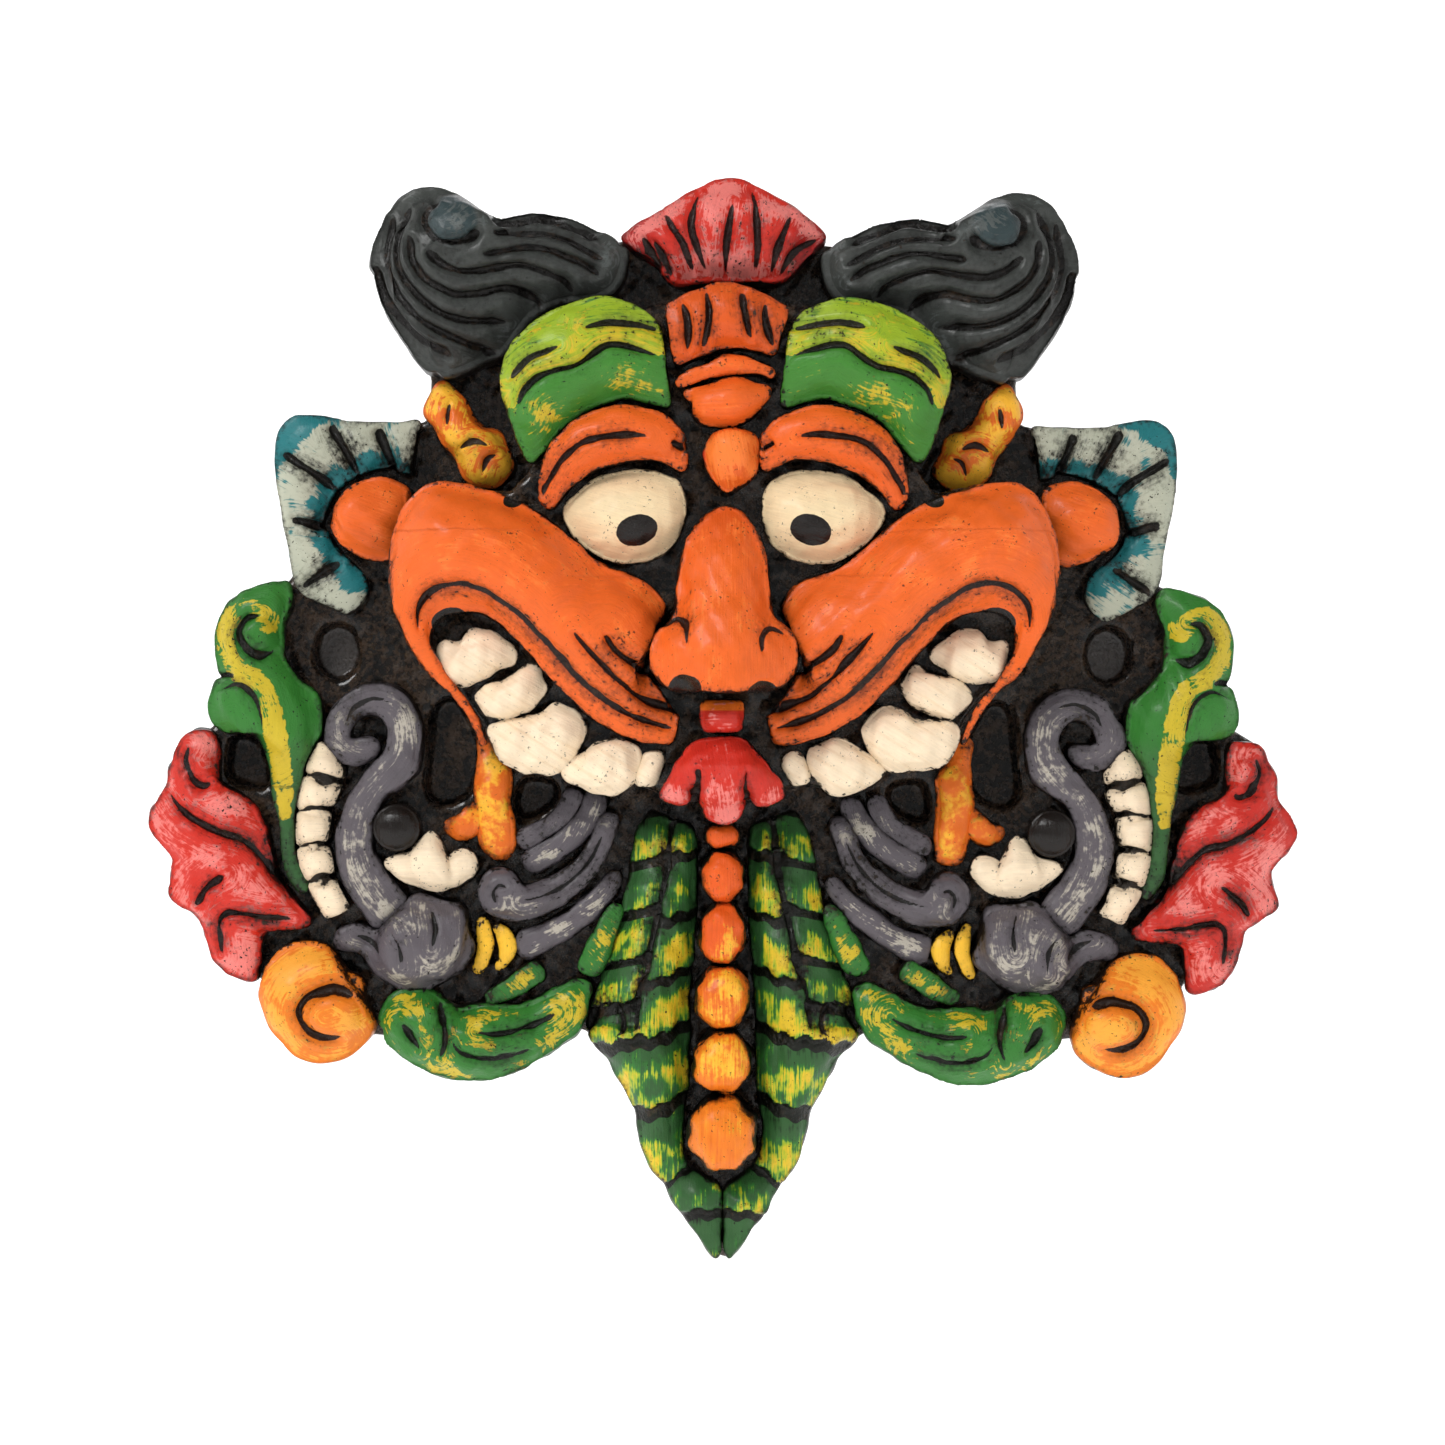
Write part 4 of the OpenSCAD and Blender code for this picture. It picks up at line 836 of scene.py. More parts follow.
LID_LINES = [
    [(-44.4, 55.5), (-44, 58), (-42.3, 60.8), (-40.3, 64), (-37.8, 66.5), (-35, 68.6), (-30.8, 69.8),
     (-26, 70.4), (-21.8, 70.6), (-18, 70.2)],
    [(-12, 69), (-8.7, 67.4)]]
MOUTH_LINE = [(-74.7, 22.8), (-74.2, 27.3), (-72, 30.5), (-68.4, 32.6), (-64.2, 33), (-60, 31.8),
              (-55.8, 29.4), (-50.6, 25.7), (-46.4, 21.5), (-42, 16.8), (-38, 12), (-33.7, 7.8),
              (-29.5, 4.7), (-24.8, 2), (-19.5, 0.2), (-12.2, -1.6)]
LAUGH_LINES = [
    [(-36.4, 22), (-33.7, 18.4), (-30, 14.2), (-25.8, 10), (-21, 6.8), (-17, 5.2), (-10, 2.6)],
    [(-28.7, 21.5), (-26.4, 17.8), (-23.2, 15.2), (-20, 13.4), (-18, 12.8)]]
FAN_RAYS = [
    [(-98, 75.4), (-94.5, 68.2), (-91.4, 62)], [(-86.3, 74.4), (-84.2, 68.2), (-82.2, 62.6)],
    [(-74.5, 73.3), (-76, 66.7), (-77.6, 61.5)], [(-111, 67.4), (-104.7, 64), (-100, 61), (-97, 58)],
    [(-108.8, 50.5), (-103.7, 50), (-99, 49.2)], [(-105.8, 33.8), (-100.6, 36.9), (-95.5, 40.5)]]
LEAF_CURL = [(-115.2, 26.8), (-118.3, 26.6), (-120, 25), (-121, 22.5), (-120, 20), (-117.8, 17.6),
             (-114.7, 16.6), (-111.6, 18)]
LEAF_VEINS = [[(-128, 11.2), (-124.6, 12), (-122, 11.4)],
              [(-126, 8), (-121.4, 9.6), (-117, 7), (-115.2, 2.4), (-114.6, -2)]]
LEAF_SHINE = [(-113, 25), (-120, 28), (-124.6, 22), (-122, 14.5), (-116, 10), (-112.6, 3),
              (-111, -8), (-110, -22)]
RED_VEINS = [
    [(-133.7, -5.7), (-135, -8.3), (-134.2, -11.3), (-132.2, -14.4), (-129, -15.4), (-127.3, -14.7)],
    [(-138.8, -17.4), (-135.7, -21.3), (-131, -24.6), (-125.5, -27.2), (-120.4, -28.5), (-116.8, -31),
     (-113.2, -35), (-109, -39.7), (-105, -43.8), (-102, -48)],
    [(-124, -38), (-127, -39.7), (-130, -42.3), (-132, -46)],
    [(-125.5, -58.2), (-126.3, -54), (-126, -50), (-123.4, -47.7), (-119.3, -48), (-114.2, -49),
     (-107, -49.2)]]
ORANGE_CURL = [(-91.6, -68), (-95.7, -65.6), (-99.8, -66.2), (-103.4, -68), (-105.7, -71.5),
               (-105.2, -75), (-103, -78.2), (-99.8, -79.7), (-97.3, -79.7), (-94.7, -79)]
GREEN_WAVES = [
    [(-80.3, -75), (-78.2, -78.7), (-75.6, -81.8)],
    [(-67.4, -79.2), (-65.4, -82.3), (-61.3, -84), (-56.2, -84.6), (-51, -83.3), (-47.4, -81.8)],
    [(-61.3, -76.7), (-56.7, -77.2), (-52, -76.4), (-47.4, -75), (-43.8, -73.6), (-41.8, -72.3)],
    [(-70.5, -69), (-69.2, -73), (-69, -79), (-70.5, -84)]]
TAIL_COLUMN = [(-12.5, -23), (-13.5, -30), (-14.5, -38), (-16.5, -48), (-19, -60), (-21, -68),
               (-22.5, -76)]
TRUNK_RUN = [(-87.2, -6.4), (-91.5, -7), (-96.4, -3), (-95, 2.6), (-87.5, 6), (-81, 3), (-79.4, -4),
             (-80.3, -9), (-84.5, -14), (-88, -18), (-91, -24), (-92, -30), (-91, -36), (-88, -42),
             (-83, -48)]
JAW_RUN = [(-58, -48), (-50, -45), (-42, -41), (-35, -36), (-30, -28), (-27, -20)]
IVORY_SLOTS = [[(-105.4, -12.6), (-100, -14), (-93, -15.4)], [(-107, -22), (-101, -22), (-94, -22)],
               [(-107, -31.2), (-101, -30.6), (-95, -30)], [(-105, -40.4), (-99.6, -39), (-94, -37.4)]]
HAIR_BALL, LEAF_BALL, RED_BALL = (-67.5, 123.5), (-115.6, 21.6), (-131.2, -10)
ORANGE_BALL, GREEN_BALL = (-96.8, -73.2), (-75.1, -73.1)
PUPIL = (-21.0, 47.2)
CHEEK_STAINS = [((-51.4, 54.9), (2.6, 1.9), 20), ((-67, 24.6), (4.6, 3.6), 10)]
FAN_MIDDLE = (-86, 50)
NOSTRILS, NOSE_WINGS = ((-9.2, 7.6), (10, 6)), ((-9.6, 26.1), (10.5, 23.8))   # of both sides
# Two pockets whose floors are painted a paler grey, as painted light.
LIT_POCKETS = ((-97, 18), (97, 18))   # of the deep pockets, the two that aren't stained
FLAME_LINES = [[(-68, 80), (-68.6, 77), (-69, 74)], [(-66, 68), (-62, 70), (-58, 69)],
               [(-60, 62), (-58.5, 65.5), (-56, 67)]]
TRUNK_TIP = [[(-94.5, -1), (-92.5, 3.4), (-87.6, 6), (-82.6, 5)]]
HEAD_LINES = [[(-92, -53), (-88, -54.6), (-86, -58)], [(-82.6, -52), (-80.4, -56), (-80, -61)],
              [(-72.6, -46), (-71.4, -51), (-72, -56)]]
JAW_LINES = [[(-57, -45.5), (-57.6, -42.5), (-56, -40.4), (-54, -41)],
             [(-50, -44.6), (-44, -43), (-38.5, -40), (-33.5, -35), (-30, -28)]]
BIG_SCALE = [(-34.5, -78), (-32, -72), (-29, -70), (-25.5, -72), (-25, -76), (-27, -79)]
INNER_ROWS = [(-23, -23), (-31.5, -31.5), (-46.5, -47.5), (-60, -63.5), (-73.5, -78), (-91, -96),
              (-110, -117.5), (-122, -126), (-136, -139)]   # at the bead's edge, and 14 mm out
OUTER_ROWS = [-22, -34.5, -46.5, -58, -69, -80]


# ---------- operators ----------

class CarvingStep:
    """What the operators on carvings share."""
    bl_options = {"REGISTER", "UNDO"}

    def execute(self, context):
        self.sizes = context.scene.mask_carving
        self.make()
        return {"FINISHED"}


class MASK_OT_backing(CarvingStep, Operator):
    """Hollows, stains and varnishes the back panel and the face block"""
    bl_idname = "mask.backing"
    bl_label = "Backing"

    def make(self):
        panel = Carving("back_panel", self.sizes.backing, 0)
        front = eased(-panel.points[:, 1], 8.8, 9.8)
        sunk = eased(-panel.points[:, 1], 1.5, 2.4) * (1 - eased(-panel.points[:, 1], 3, 5))
        facing = -panel.normals()[:, 1]
        # Pocket floors near LIT_POCKETS get the ink mark, which the ground paint turns paler grey:
        # painted light on those floors.
        lit = np.minimum(*(np.linalg.norm(panel.flat - spot, axis=1) for spot in LIT_POCKETS))
        panel.marks["ink"] = sunk * eased(facing, 0.6, 0.9) * (1 - 0.85 * eased(lit, 12, 15))
        panel.marks["back"] = eased(-facing, 0.6, 0.9)
        x, z = panel.flat.T
        gouged = np.sin(x * 0.9 + 2 * np.sin(z * 0.21)) * np.sin(z * 0.8 + 2 * np.sin(x * 0.17))
        panel.points[:, 1] += front * (0.35 + 0.4 * gouged)
        panel.finish(ground_finish(), "dark_ground", brush=30)
        core = Carving("face_core", self.sizes.coarse, 6)
        core.waver(0.5, 3)
        core.finish(ground_finish(), "dark_ground", brush=60)


class MASK_OT_hair(CarvingStep, Operator):
    """Carves the two curled locks of hair"""
    bl_idname = "mask.hair"
    bl_label = "Hair"

    def make(self):
        finish = painted("Hair paint", [(0.0, "charcoal"), (1.0, "slate")], "charcoal_light", 0.3,
                         rough=0.38, dirt_and_shade=0.6, specks=0.35, edge_wear_and_shade=0.5)
        for side in SIDES:
            lock = Carving("hair_" + side, self.sizes.medium, 20, 160, swell=3.4, drift=(1, -1.5))
            bell = lock.press(HAIR_BALL, 8, 2.2, flat=True)
            lock.cut(HAIR_STRANDS, 2.8, 0.95, 0.06, 0.8)
            lock.cut([HAIR_CURL], 3.2, 1.0, 0.06)
            lock.waver(0.15, 11)
            lock.marks["tint"] = eased(bell, 0.2, 0.6)
            lock.finish(finish, "charcoal_paint")


class MASK_OT_crest(CarvingStep, Operator):
    """Carves the fluted red crest"""
    bl_idname = "mask.crest"
    bl_label = "Crest"

    def make(self):
        crest = Carving("crest", self.sizes.medium, 14, 60, swell=2)
        crest.cut(CREST_FLUTES, 2.4, 1.15, taper=0.5)
        crest.waver(0.2, 12)
        x = np.abs(crest.flat[:, 0])
        crest.marks["tint"] = eased(x, 10, 24)
        crest.finish(painted("Crest paint", [(0.2, "red"), (0.9, "red_dull")], "pink", 0.56, 0.2,
                             dirt_and_shade=0.7, specks=1.0), "red_paint")


class MASK_OT_forehead(CarvingStep, Operator):
    """Carves the forehead's blocks and the jewel between the brows"""
    bl_idname = "mask.forehead"
    bl_label = "Forehead"

    def make(self):
        finish = face_finish()
        top = Carving("forehead_top", self.sizes.fine, 10, 20, swell=1.6)
        top.cut(FOREHEAD_LINES, 2.6, 1.0, taper=0.25)
        top.marks["tint"] += 0.5
        top.waver(0.2, 13)
        top.finish(finish, "orange_paint")
        ridges = Carving("forehead_ridges", self.sizes.fine, 8, 10, swell=1.6)
        ridges.waver(0.25, 14)
        ridges.finish(finish, "orange_paint", brush=90)
        jewel = Carving("jewel", self.sizes.fine, 10, 20, swell=1.6)
        jewel.waver(0.25, 15)
        jewel.marks["tint"] = 1 - eased(jewel.flat[:, 0], -5.5, -3)
        jewel.finish(painted("Jewel paint", [(0.3, "orange"), (0.9, "red")], "orange_light", 0.5),
                     "orange_paint", brush=10)


def face_finish():
    """Orange of the face, ears and forehead."""
    return painted("Face paint", [(0.0, "orange"), (1.0, "orange_deep")], "orange_light", 0.16, 0.5,
                   rough=0.44, dirt_and_shade=0.7, specks=0.8)


class MASK_OT_nose(CarvingStep, Operator):
    """Carves the nose with its nostrils and wings"""
    bl_idname = "mask.nose"
    bl_label = "Nose"

    def make(self):
        nose = Carving("nose", self.sizes.medium, 30, 160)
        for centre in NOSTRILS:
            nose.press(centre, 5, -5)
            nose.stain(centre, (4.2, 3.8))
        nose.marks["ink"] += 0.5 * eased(nose.flat[:, 1], 46, 54)
        for x, z in NOSE_WINGS:
            lean = 1 if x > 0 else -1
            nose.cut([[(x + 5 * lean, z - 2.5), (x + 1.5 * lean, z - 0.5), (x - 0.5 * lean, z - 3),
                       (x - 0.5 * lean, z - 7)]], 1.4, 0.8, taper=0.5)
        nose.waver(0.3, 16)
        z = nose.flat[:, 1]
        nose.marks["tint"] = 0.5 * eased(z, 38, 52)
        nose.finish(face_finish(), "orange_paint", brush=0)


class MASK_OT_mouth(CarvingStep, Operator):
    """Carves the upper lip and the three-lobed tongue"""
    bl_idname = "mask.mouth"
    bl_label = "Lip and tongue"

    def make(self):
        lip = Carving("upper_lip", self.sizes.fine, 6, 10)
        lip.waver(0.2, 17)
        lip.marks["tint"] = eased(lip.flat[:, 1], 2.4, 3.4)
        lip.finish(painted("Lip paint", [(0.3, "red"), (0.8, "flame")], "pink", 0.2),
                   "red_paint", brush=90)
        tongue = Carving("tongue", self.sizes.fine, 10, 30)
        tongue.cut([[(-6.2, -11), (-6.8, -14), (-7, -20)], [(6, -11.5), (6.2, -14), (6.4, -20)]],
                   2.6, 0.9, taper=0.3)
        tongue.waver(0.3, 18)
        tongue.marks["coat"] = 0.7 + 0.38 * eased(-tongue.flat[:, 1], 11, 19)
        tongue.finish(painted("Tongue paint", [(0.0, "red"), (1.0, "red_dull")], "pink", 0.42, 0.24,
                              dirt_and_shade=0.6), "red_paint", brush=10)


class MASK_OT_brows(CarvingStep, Operator):
    """Carves the brows and paints their three bands"""
    bl_idname = "mask.brows"
    bl_label = "Brows"

    def make(self):
        finish = painted("Brow paint", [(0.0, "brow_green"), (0.3, "brow_green"), (0.42, "yellow"),
                                        (0.6, "brow_lime"), (0.86, "brow_lime"), (1.0, "leaf")],
                         "yellow", 0.18, 0.24, rough=0.4, specks=1.0, mingle=0.5)
        for side in SIDES:
            brow = Carving("brow_" + side, self.sizes.medium, 12, 60, swell=1.7, drift=(1.5, 0))
            brow.cut(BROW_UPPER, 2.6, 1.0, 0.25)
            brow.cut([BROW_LOWER], 2.6, 0.95, 0.15)
            brow.waver(0.2, 19)
            lower = flowing(brow.drawn(BROW_LOWER))
            upper = flowing(brow.drawn(BROW_UPPER[0] + BROW_UPPER[1]))
            brow.marks["tint"] = band_of(brow.flat, [lower, upper], [0.12, 0.55, 0.85])
            brow.finish(finish, "brow_green_paint")


def band_of(points, lines, levels):
    """The level of the band that each point lies in, between lines that run side by side."""
    tint = np.full(len(points), levels[0])
    for line, level in zip(lines, levels[1:]):
        order = np.argsort(line[:, 0])
        x, z = line[order].T
        tint = np.where(points[:, 1] > np.interp(points[:, 0], x, z), level, tint)
    return tint


class MASK_OT_eyes(CarvingStep, Operator):
    """Carves the eyelids and the eyeballs with black pupils"""
    bl_idname = "mask.eyes"
    bl_label = "Eyes"

    def make(self):
        ball = painted("Eyeball paint", [(0.2, "eyeball"), (1.0, "eyeball_aged")], None, rough=0.4,
                       dirt_and_shade=0.6, specks=0.7)
        for side in SIDES:
            lid = Carving("eyelid_" + side, self.sizes.medium, 12, 50, swell=1.8, drift=(0.5, 0))
            lid.cut(LID_LINES, 2.6, 1.0, 0.15)
            lid.waver(0.2, 20)
            lid.finish(face_finish(), "orange_paint")
            eye = Carving("eye_" + side, self.sizes.fine, 20, 120, swell=1.5, drift=(0.7, 0.1))
            eye.press(PUPIL, 6.2, 0.5, flat=True)
            eye.waver(0.18, 21)
            eye.stain(PUPIL, (5.0, 3.6), 16)
            eye.finish(ball, "eye_paint", brush=75)


class MASK_OT_cheeks(CarvingStep, Operator):
    """Carves the round cheeks that run down into the grinning mouth"""
    bl_idname = "mask.cheeks"
    bl_label = "Cheeks"

    def make(self):
        for side in SIDES:
            cheek = Carving("cheek_" + side, self.sizes.medium, 30, 220, drift=(0.6, 0))
            cheek.cut([MOUTH_LINE], 2.4, 0.8, 0.05, 0.5)
            cheek.cut(LAUGH_LINES, 2.4, 0.85, (0.12, 0.04))
            cheek.waver(0.25, 22)
            for centre, radii, turn in CHEEK_STAINS:
                cheek.stain(centre, radii, turn)
            cheek.finish(face_finish(), "orange_paint")


class MASK_OT_teeth(CarvingStep, Operator):
    """Carves the rows of teeth"""
    bl_idname = "mask.teeth"
    bl_label = "Teeth"

    def make(self):
        for side in SIDES:
            teeth = Carving("teeth_" + side, self.sizes.fine, 3, 4, swell=2.3)
            teeth.waver(0.45, 23)
            teeth.marks["tint"] = 0.35 * np.abs(np.sin(teeth.flat @ (0.5, 0.8))) ** 8
            teeth.finish(ivory_finish(), "ivory_paint", brush=60)


def ivory_finish():
    """Cream of the teeth, with an older cream in the dips."""
    return painted("Ivory paint", [(0.15, "cream"), (1.0, "cream_aged")], None, rough=0.4, dirt_and_shade=0.35,
                   specks=0.7, mingle=0.5)


class MASK_OT_ears(CarvingStep, Operator):
    """Carves the ear lobes and the fans behind them"""
    bl_idname = "mask.ears"
    bl_label = "Ears"

    def make(self):
        fan_paint = painted("Fan paint", [(0.42, "teal"), (0.54, "teal_pale")], None, dirt_and_shade=1.1,
                            specks=1.0, mingle=1.7, streaky=0.5)
        for side in SIDES:
            ear = Carving("ear_" + side, self.sizes.fine, 16, 60, swell=1.8)
            ear.waver(0.3, 24)
            ear.finish(face_finish(), "orange_paint", brush=70)
            fan = Carving("ear_fan_" + side, self.sizes.medium, 8, 40, drift=(1.8, -1.5))
            fan.cut(FAN_RAYS, 2.8, 1.15, (0.08, 0.12))
            fan.waver(0.2, 25)
            middle = fan.drawn([FAN_MIDDLE])[0]
            reach = np.linalg.norm(fan.flat - middle, axis=1)
            fan.marks["tint"] = 0.76 * eased(reach, 12, 22) * (1 - eased(reach, 27, 31))
            fan.finish(fan_paint, "teal_paint")


class MASK_OT_flames(CarvingStep, Operator):
    """Carves the flames beside the brows and in the beasts' mouths"""
    bl_idname = "mask.flames"
    bl_label = "Flames"

    def make(self):
        finish = painted("Flame paint", [(0.2, "flame"), (1.0, "orange_deep")], "flame_light", 0.5,
                         0.2, dirt_and_shade=0.7, mingle=0.6)
        fire = painted("Mouth flame paint", [(0.2, "flame"), (0.8, "orange_deep")], "flame_light",
                       0.4, 0.4, dirt_and_shade=1.2)
        for side in SIDES:
            flame = Carving("flame_" + side, self.sizes.fine, 10, 20, swell=1.8, drift=(1, -1))
            flame.cut(FLAME_LINES, 1.6, 0.8, 0.5)
            flame.waver(0.3, 26)
            flame.finish(finish, "flame_paint")
            tongue = Carving("mouth_flame_" + side, self.sizes.fine, 8, 12, swell=3.2)
            tongue.waver(0.3, 27)
            tongue.finish(fire, "flame_paint")


class MASK_OT_leaves(CarvingStep, Operator):
    """Carves the green and red leaves at the sides"""
    bl_idname = "mask.leaves"
    bl_label = "Leaves"

    def make(self):
        green = painted("Leaf paint", [(0.3, "leaf"), (1.0, "scale")], "yellow", 0.56, 0.14,
                        dirt_and_shade=0.85, specks=1.0, mingle=0.4)
        for side in SIDES:
            leaf = Carving("leaf_green_" + side, self.sizes.medium, 12, 40, swell=1.8, drift=(0.8, -2))
            leaf.press(LEAF_BALL, 4.6, 1.2, flat=True)
            leaf.cut([LEAF_CURL], 2.4, 0.9, 0.15)
            leaf.cut(LEAF_VEINS, 1.8, 0.7, 0.5)
            leaf.coat_along(LEAF_SHINE, 3.6)
            leaf.waver(0.25, 28)
            leaf.marks["tint"] = 1 - eased(leaf.flat[:, 1], -20, 8)
            leaf.finish(green, "leaf_green_paint")
            red = Carving("leaf_red_" + side, self.sizes.medium, 10, 30, swell=2, drift=(0, -3))
            red.press(RED_BALL, 4, 1, flat=True)
            red.cut(RED_VEINS, 2.4, 0.85, 0.15, 0.6)
            red.waver(0.25, 29)
            red.marks["tint"] += 0.45 if red.mirrored else 0.1
            red.finish(painted("Red leaf paint", [(0.2, "red"), (0.9, "red_dull")], "pink", 0.42,
                               0.34, dirt_and_shade=1.0, specks=1.0), "red_paint")


class MASK_OT_scrolls(CarvingStep, Operator):
    """Carves the curled scrolls along the foot"""
    bl_idname = "mask.scrolls"
    bl_label = "Scrolls"

    def make(self):
        orange = painted("Scroll paint", [(0.2, "scroll"), (1.0, "orange_deep")], "scroll_light",
                         0.5, 0.24, dirt_and_shade=0.45)
        green = painted("Green scroll paint", [(0.3, "leaf"), (0.7, "scale")], "yellow", 0.3, 0.14,
                        dirt_and_shade=0.8, specks=1.0, mingle=0.5)
        for side in SIDES:
            curl = Carving("scroll_orange_" + side, self.sizes.medium, 16, 80, swell=2, drift=(0, -3))
            curl.press(ORANGE_BALL, 7, 2, flat=True)
            curl.cut([ORANGE_CURL], 3, 1.0, 0.12, 0.6)
            curl.waver(0.2, 30)
            curl.finish(orange, "orange_paint")
            wave = Carving("scroll_green_" + side, self.sizes.medium, 12, 50, swell=2.4, drift=(0, -1))
            wave.press(GREEN_BALL, 5.4, 1.6, flat=True)
            wave.cut(GREEN_WAVES, 2.4, 0.9, 0.3, 0.6)
            wave.waver(0.25, 31)
            wave.finish(green, "leaf_green_paint")
            filler = Carving("filler_leaves_" + side, self.sizes.fine, 8, 10, swell=3)
            filler.waver(0.3, 32)
            filler.marks["tint"] += 0.4
            filler.finish(green, "leaf_green_paint", brush=-45 if filler.mirrored else 45)


class MASK_OT_beasts(CarvingStep, Operator):
    """Carves the elephant heads: trunks, brows, jaws, gums, collars, teeth and eyes"""
    bl_idname = "mask.beasts"
    bl_label = "Beasts"

    def make(self):
        grey = painted("Elephant paint", [(0.3, "grey"), (1.0, "charcoal")], "grey_pale", 0.28, 0.3,
                       dirt_and_shade=0.8, specks=0.9, mingle=0.4)
        gum = painted("Gum paint", [(0.2, "grey"), (0.8, "charcoal")], "grey_pale", 0.2, 0.16,
                      dirt_and_shade=0.8, specks=0.8)
        collar_paint = painted("Collar paint", [(0.3, "flame_light"), (1.0, "flame")], None, dirt_and_shade=0.5)
        drift = (0.8, -1.5)
        for side in SIDES:
            trunk = Carving("trunk_" + side, self.sizes.medium, 14, 60, swell=3, drift=drift)
            trunk.cut(TRUNK_TIP, 0.8, 0.6, 0.5)
            trunk.waver(0.3, 33)
            trunk.follow(TRUNK_RUN)
            trunk.finish(grey, "grey_paint")
            head = Carving("beast_head_" + side, self.sizes.medium, 14, 30, swell=3, drift=drift)
            head.cut(HEAD_LINES, 1.5, 0.7, 0.5)
            head.waver(0.35, 34)
            head.finish(grey, "grey_paint")
            jaw = Carving("lower_jaw_" + side, self.sizes.medium, 12, 30, swell=2.4, drift=drift)
            jaw.cut(JAW_LINES, 1.5, 0.6, 0.3)
            jaw.waver(0.25, 35)
            jaw.finish(grey, "grey_paint")
            gums = Carving("gums_" + side, self.sizes.fine, 8, 12, swell=3, drift=drift)
            gums.waver(0.25, 36)
            gums.follow(JAW_RUN)
            gums.finish(gum, "grey_paint")
            collar = Carving("collar_" + side, self.sizes.fine, 6, 8, swell=1.8)
            collar.waver(0.25, 37)
            collar.finish(collar_paint, "flame_paint", brush=0)
            ivory = Carving("ivory_" + side, self.sizes.fine, 5, 10, swell=1.6, drift=drift)
            ivory.cut(IVORY_SLOTS, 2.6, 0.85, (0.55, 0.02), 0.2)
            ivory.waver(0.25, 38)
            ivory.finish(ivory_finish(), "ivory_paint", brush=90)
        eyes = Carving("beast_eyes", self.sizes.fine, 14, 40)
        eyes.marks["ink"] += 0.8
        eyes.finish(painted("Beast eye paint", [(0.0, "black"), (1.0, "groove")], rough=0.3,
                            specks=0.2), "black_paint", brush=0)


class MASK_OT_tail(CarvingStep, Operator):
    """Carves the scaly tail, with every scale sloped like a roof tile"""
    bl_idname = "mask.tail"
    bl_label = "Tail"

    def make(self):
        finish = painted("Scale paint", [(0.0, "groove"), (0.2, "scale"), (0.42, "scale"),
                                         (0.54, "leaf"), (0.6, "brow_lime"), (0.72, "yellow")],
                         None, dirt_and_shade=1.15, specks=1.0, mingle=1.2, streaky=0.6)
        for side in SIDES:
            tail = Carving("tail_" + side, self.sizes.medium, 6, 60, swell=1.6)
            x, z = tail.flat.T
            x = -np.abs(x)
            column = np.array(TAIL_COLUMN) * SCALE
            border = np.interp(-z, -column[:, 1], column[:, 0], right=-60)
            inner = x > border
            rows = np.array(INNER_ROWS) * SCALE[1]
            lean = np.clip((-x - 8 * SCALE[0]) / 14, 0, 1.4)[:, None]
            edges = rows[:, 0] + (rows[:, 1] - rows[:, 0]) * lean
            edges = edges - (1.6 * np.sin(math.pi * np.clip(lean, 0, 1))
                             + 0.5 * np.sin(x * 1.3)[:, None])
            share_in = within(z, edges)
            outer_rows = np.tile(np.array(OUTER_ROWS) * SCALE[1], (len(z), 1))
            share_out = within(z, outer_rows + (0.25 * (x + 20))[:, None])
            share = np.where(inner, share_in, share_out)
            clear = np.clip(tail.height / 5, 0, 1)
            tail.points[:, 1] += clear * (3 * (1 - share) ** 1.3 + np.where(inner, 0, 1.2))
            # The top of each scale, tucked under the one above, goes black-brown through the groove
            # mark: dark ground and painted shadow under the overlap.
            tail.marks["groove"] = np.maximum(tail.marks["groove"], 1 - eased(share, 0.1, 0.26))
            tail.soften(3)
            tail.cut([TAIL_COLUMN], 2.2, 0.9, 0.1)
            tail.cut([BIG_SCALE], 1.8, 0.8, 0.2)
            tail.waver(0.25, 39)
            low = eased(-z, 45, 70)
            side_share = np.sin(math.pi * np.clip((-x - 7) / np.maximum(-border - 7, 5), 0, 1))
            middle = np.where(inner, side_share, 0.6)
            tail.marks["tint"] = 0.29 + 0.41 * eased(share, 0.2, 0.6) * (0.3 + 0.5 * middle + 0.2 * low)
            tail.finish(finish, "scale_green_paint", brush=0)


def within(z, edges):
    """How far down its scale each point lies: 0 at the top of the scale, 1 at its lower edge."""
    share = np.ones(len(z))
    for top, bottom in zip(edges.T, edges.T[1:]):
        inside = (z <= top) & (z > bottom)
        share[inside] = ((top - z) / (top - bottom))[inside]
    return share


class MASK_OT_beads(CarvingStep, Operator):
    """Cuts the row of faceted beads down the tail"""
    bl_idname = "mask.beads"
    bl_label = "Beads"

    def make(self):
        finish = painted("Bead paint", [(0.1, "bead"), (0.6, "scroll"), (1.0, "bead_light")],
                         "flame_light", 0.26, 0.4, dirt_and_shade=1.0, specks=0.8, mingle=0.4)
        dome = [(-0.5, 0.02), (-0.49, 0.2), (-0.44, 0.34), (-0.34, 0.45), (-0.2, 0.5), (0.1, 0.5),
                (0.49, 0.5), (0.5, 0.02)]
        blank = lathe(dome, 8)
        blank.transform(Matrix.Rotation(math.radians(22.5), 4, "Y") @ Matrix.Scale(1.05, 4))
        mesh = repeated("tail_beads", blank, finish, 3, 4)
        beads = Carving("tail_beads", self.sizes.fine, 7, 0, mesh=mesh)
        beads.waver(0.3, 40)
        z = beads.flat[:, 1]
        beads.marks["tint"] = 0.05 + 0.5 * eased(-z, 48, 80)
        beads.marks["coat"] = 0.75 + 0.35 * eased(-z, 42, 64) * (1 - 0.9 * eased(-z, 86, 92))
        beads.finish(finish, "bead_paint", brush=0)


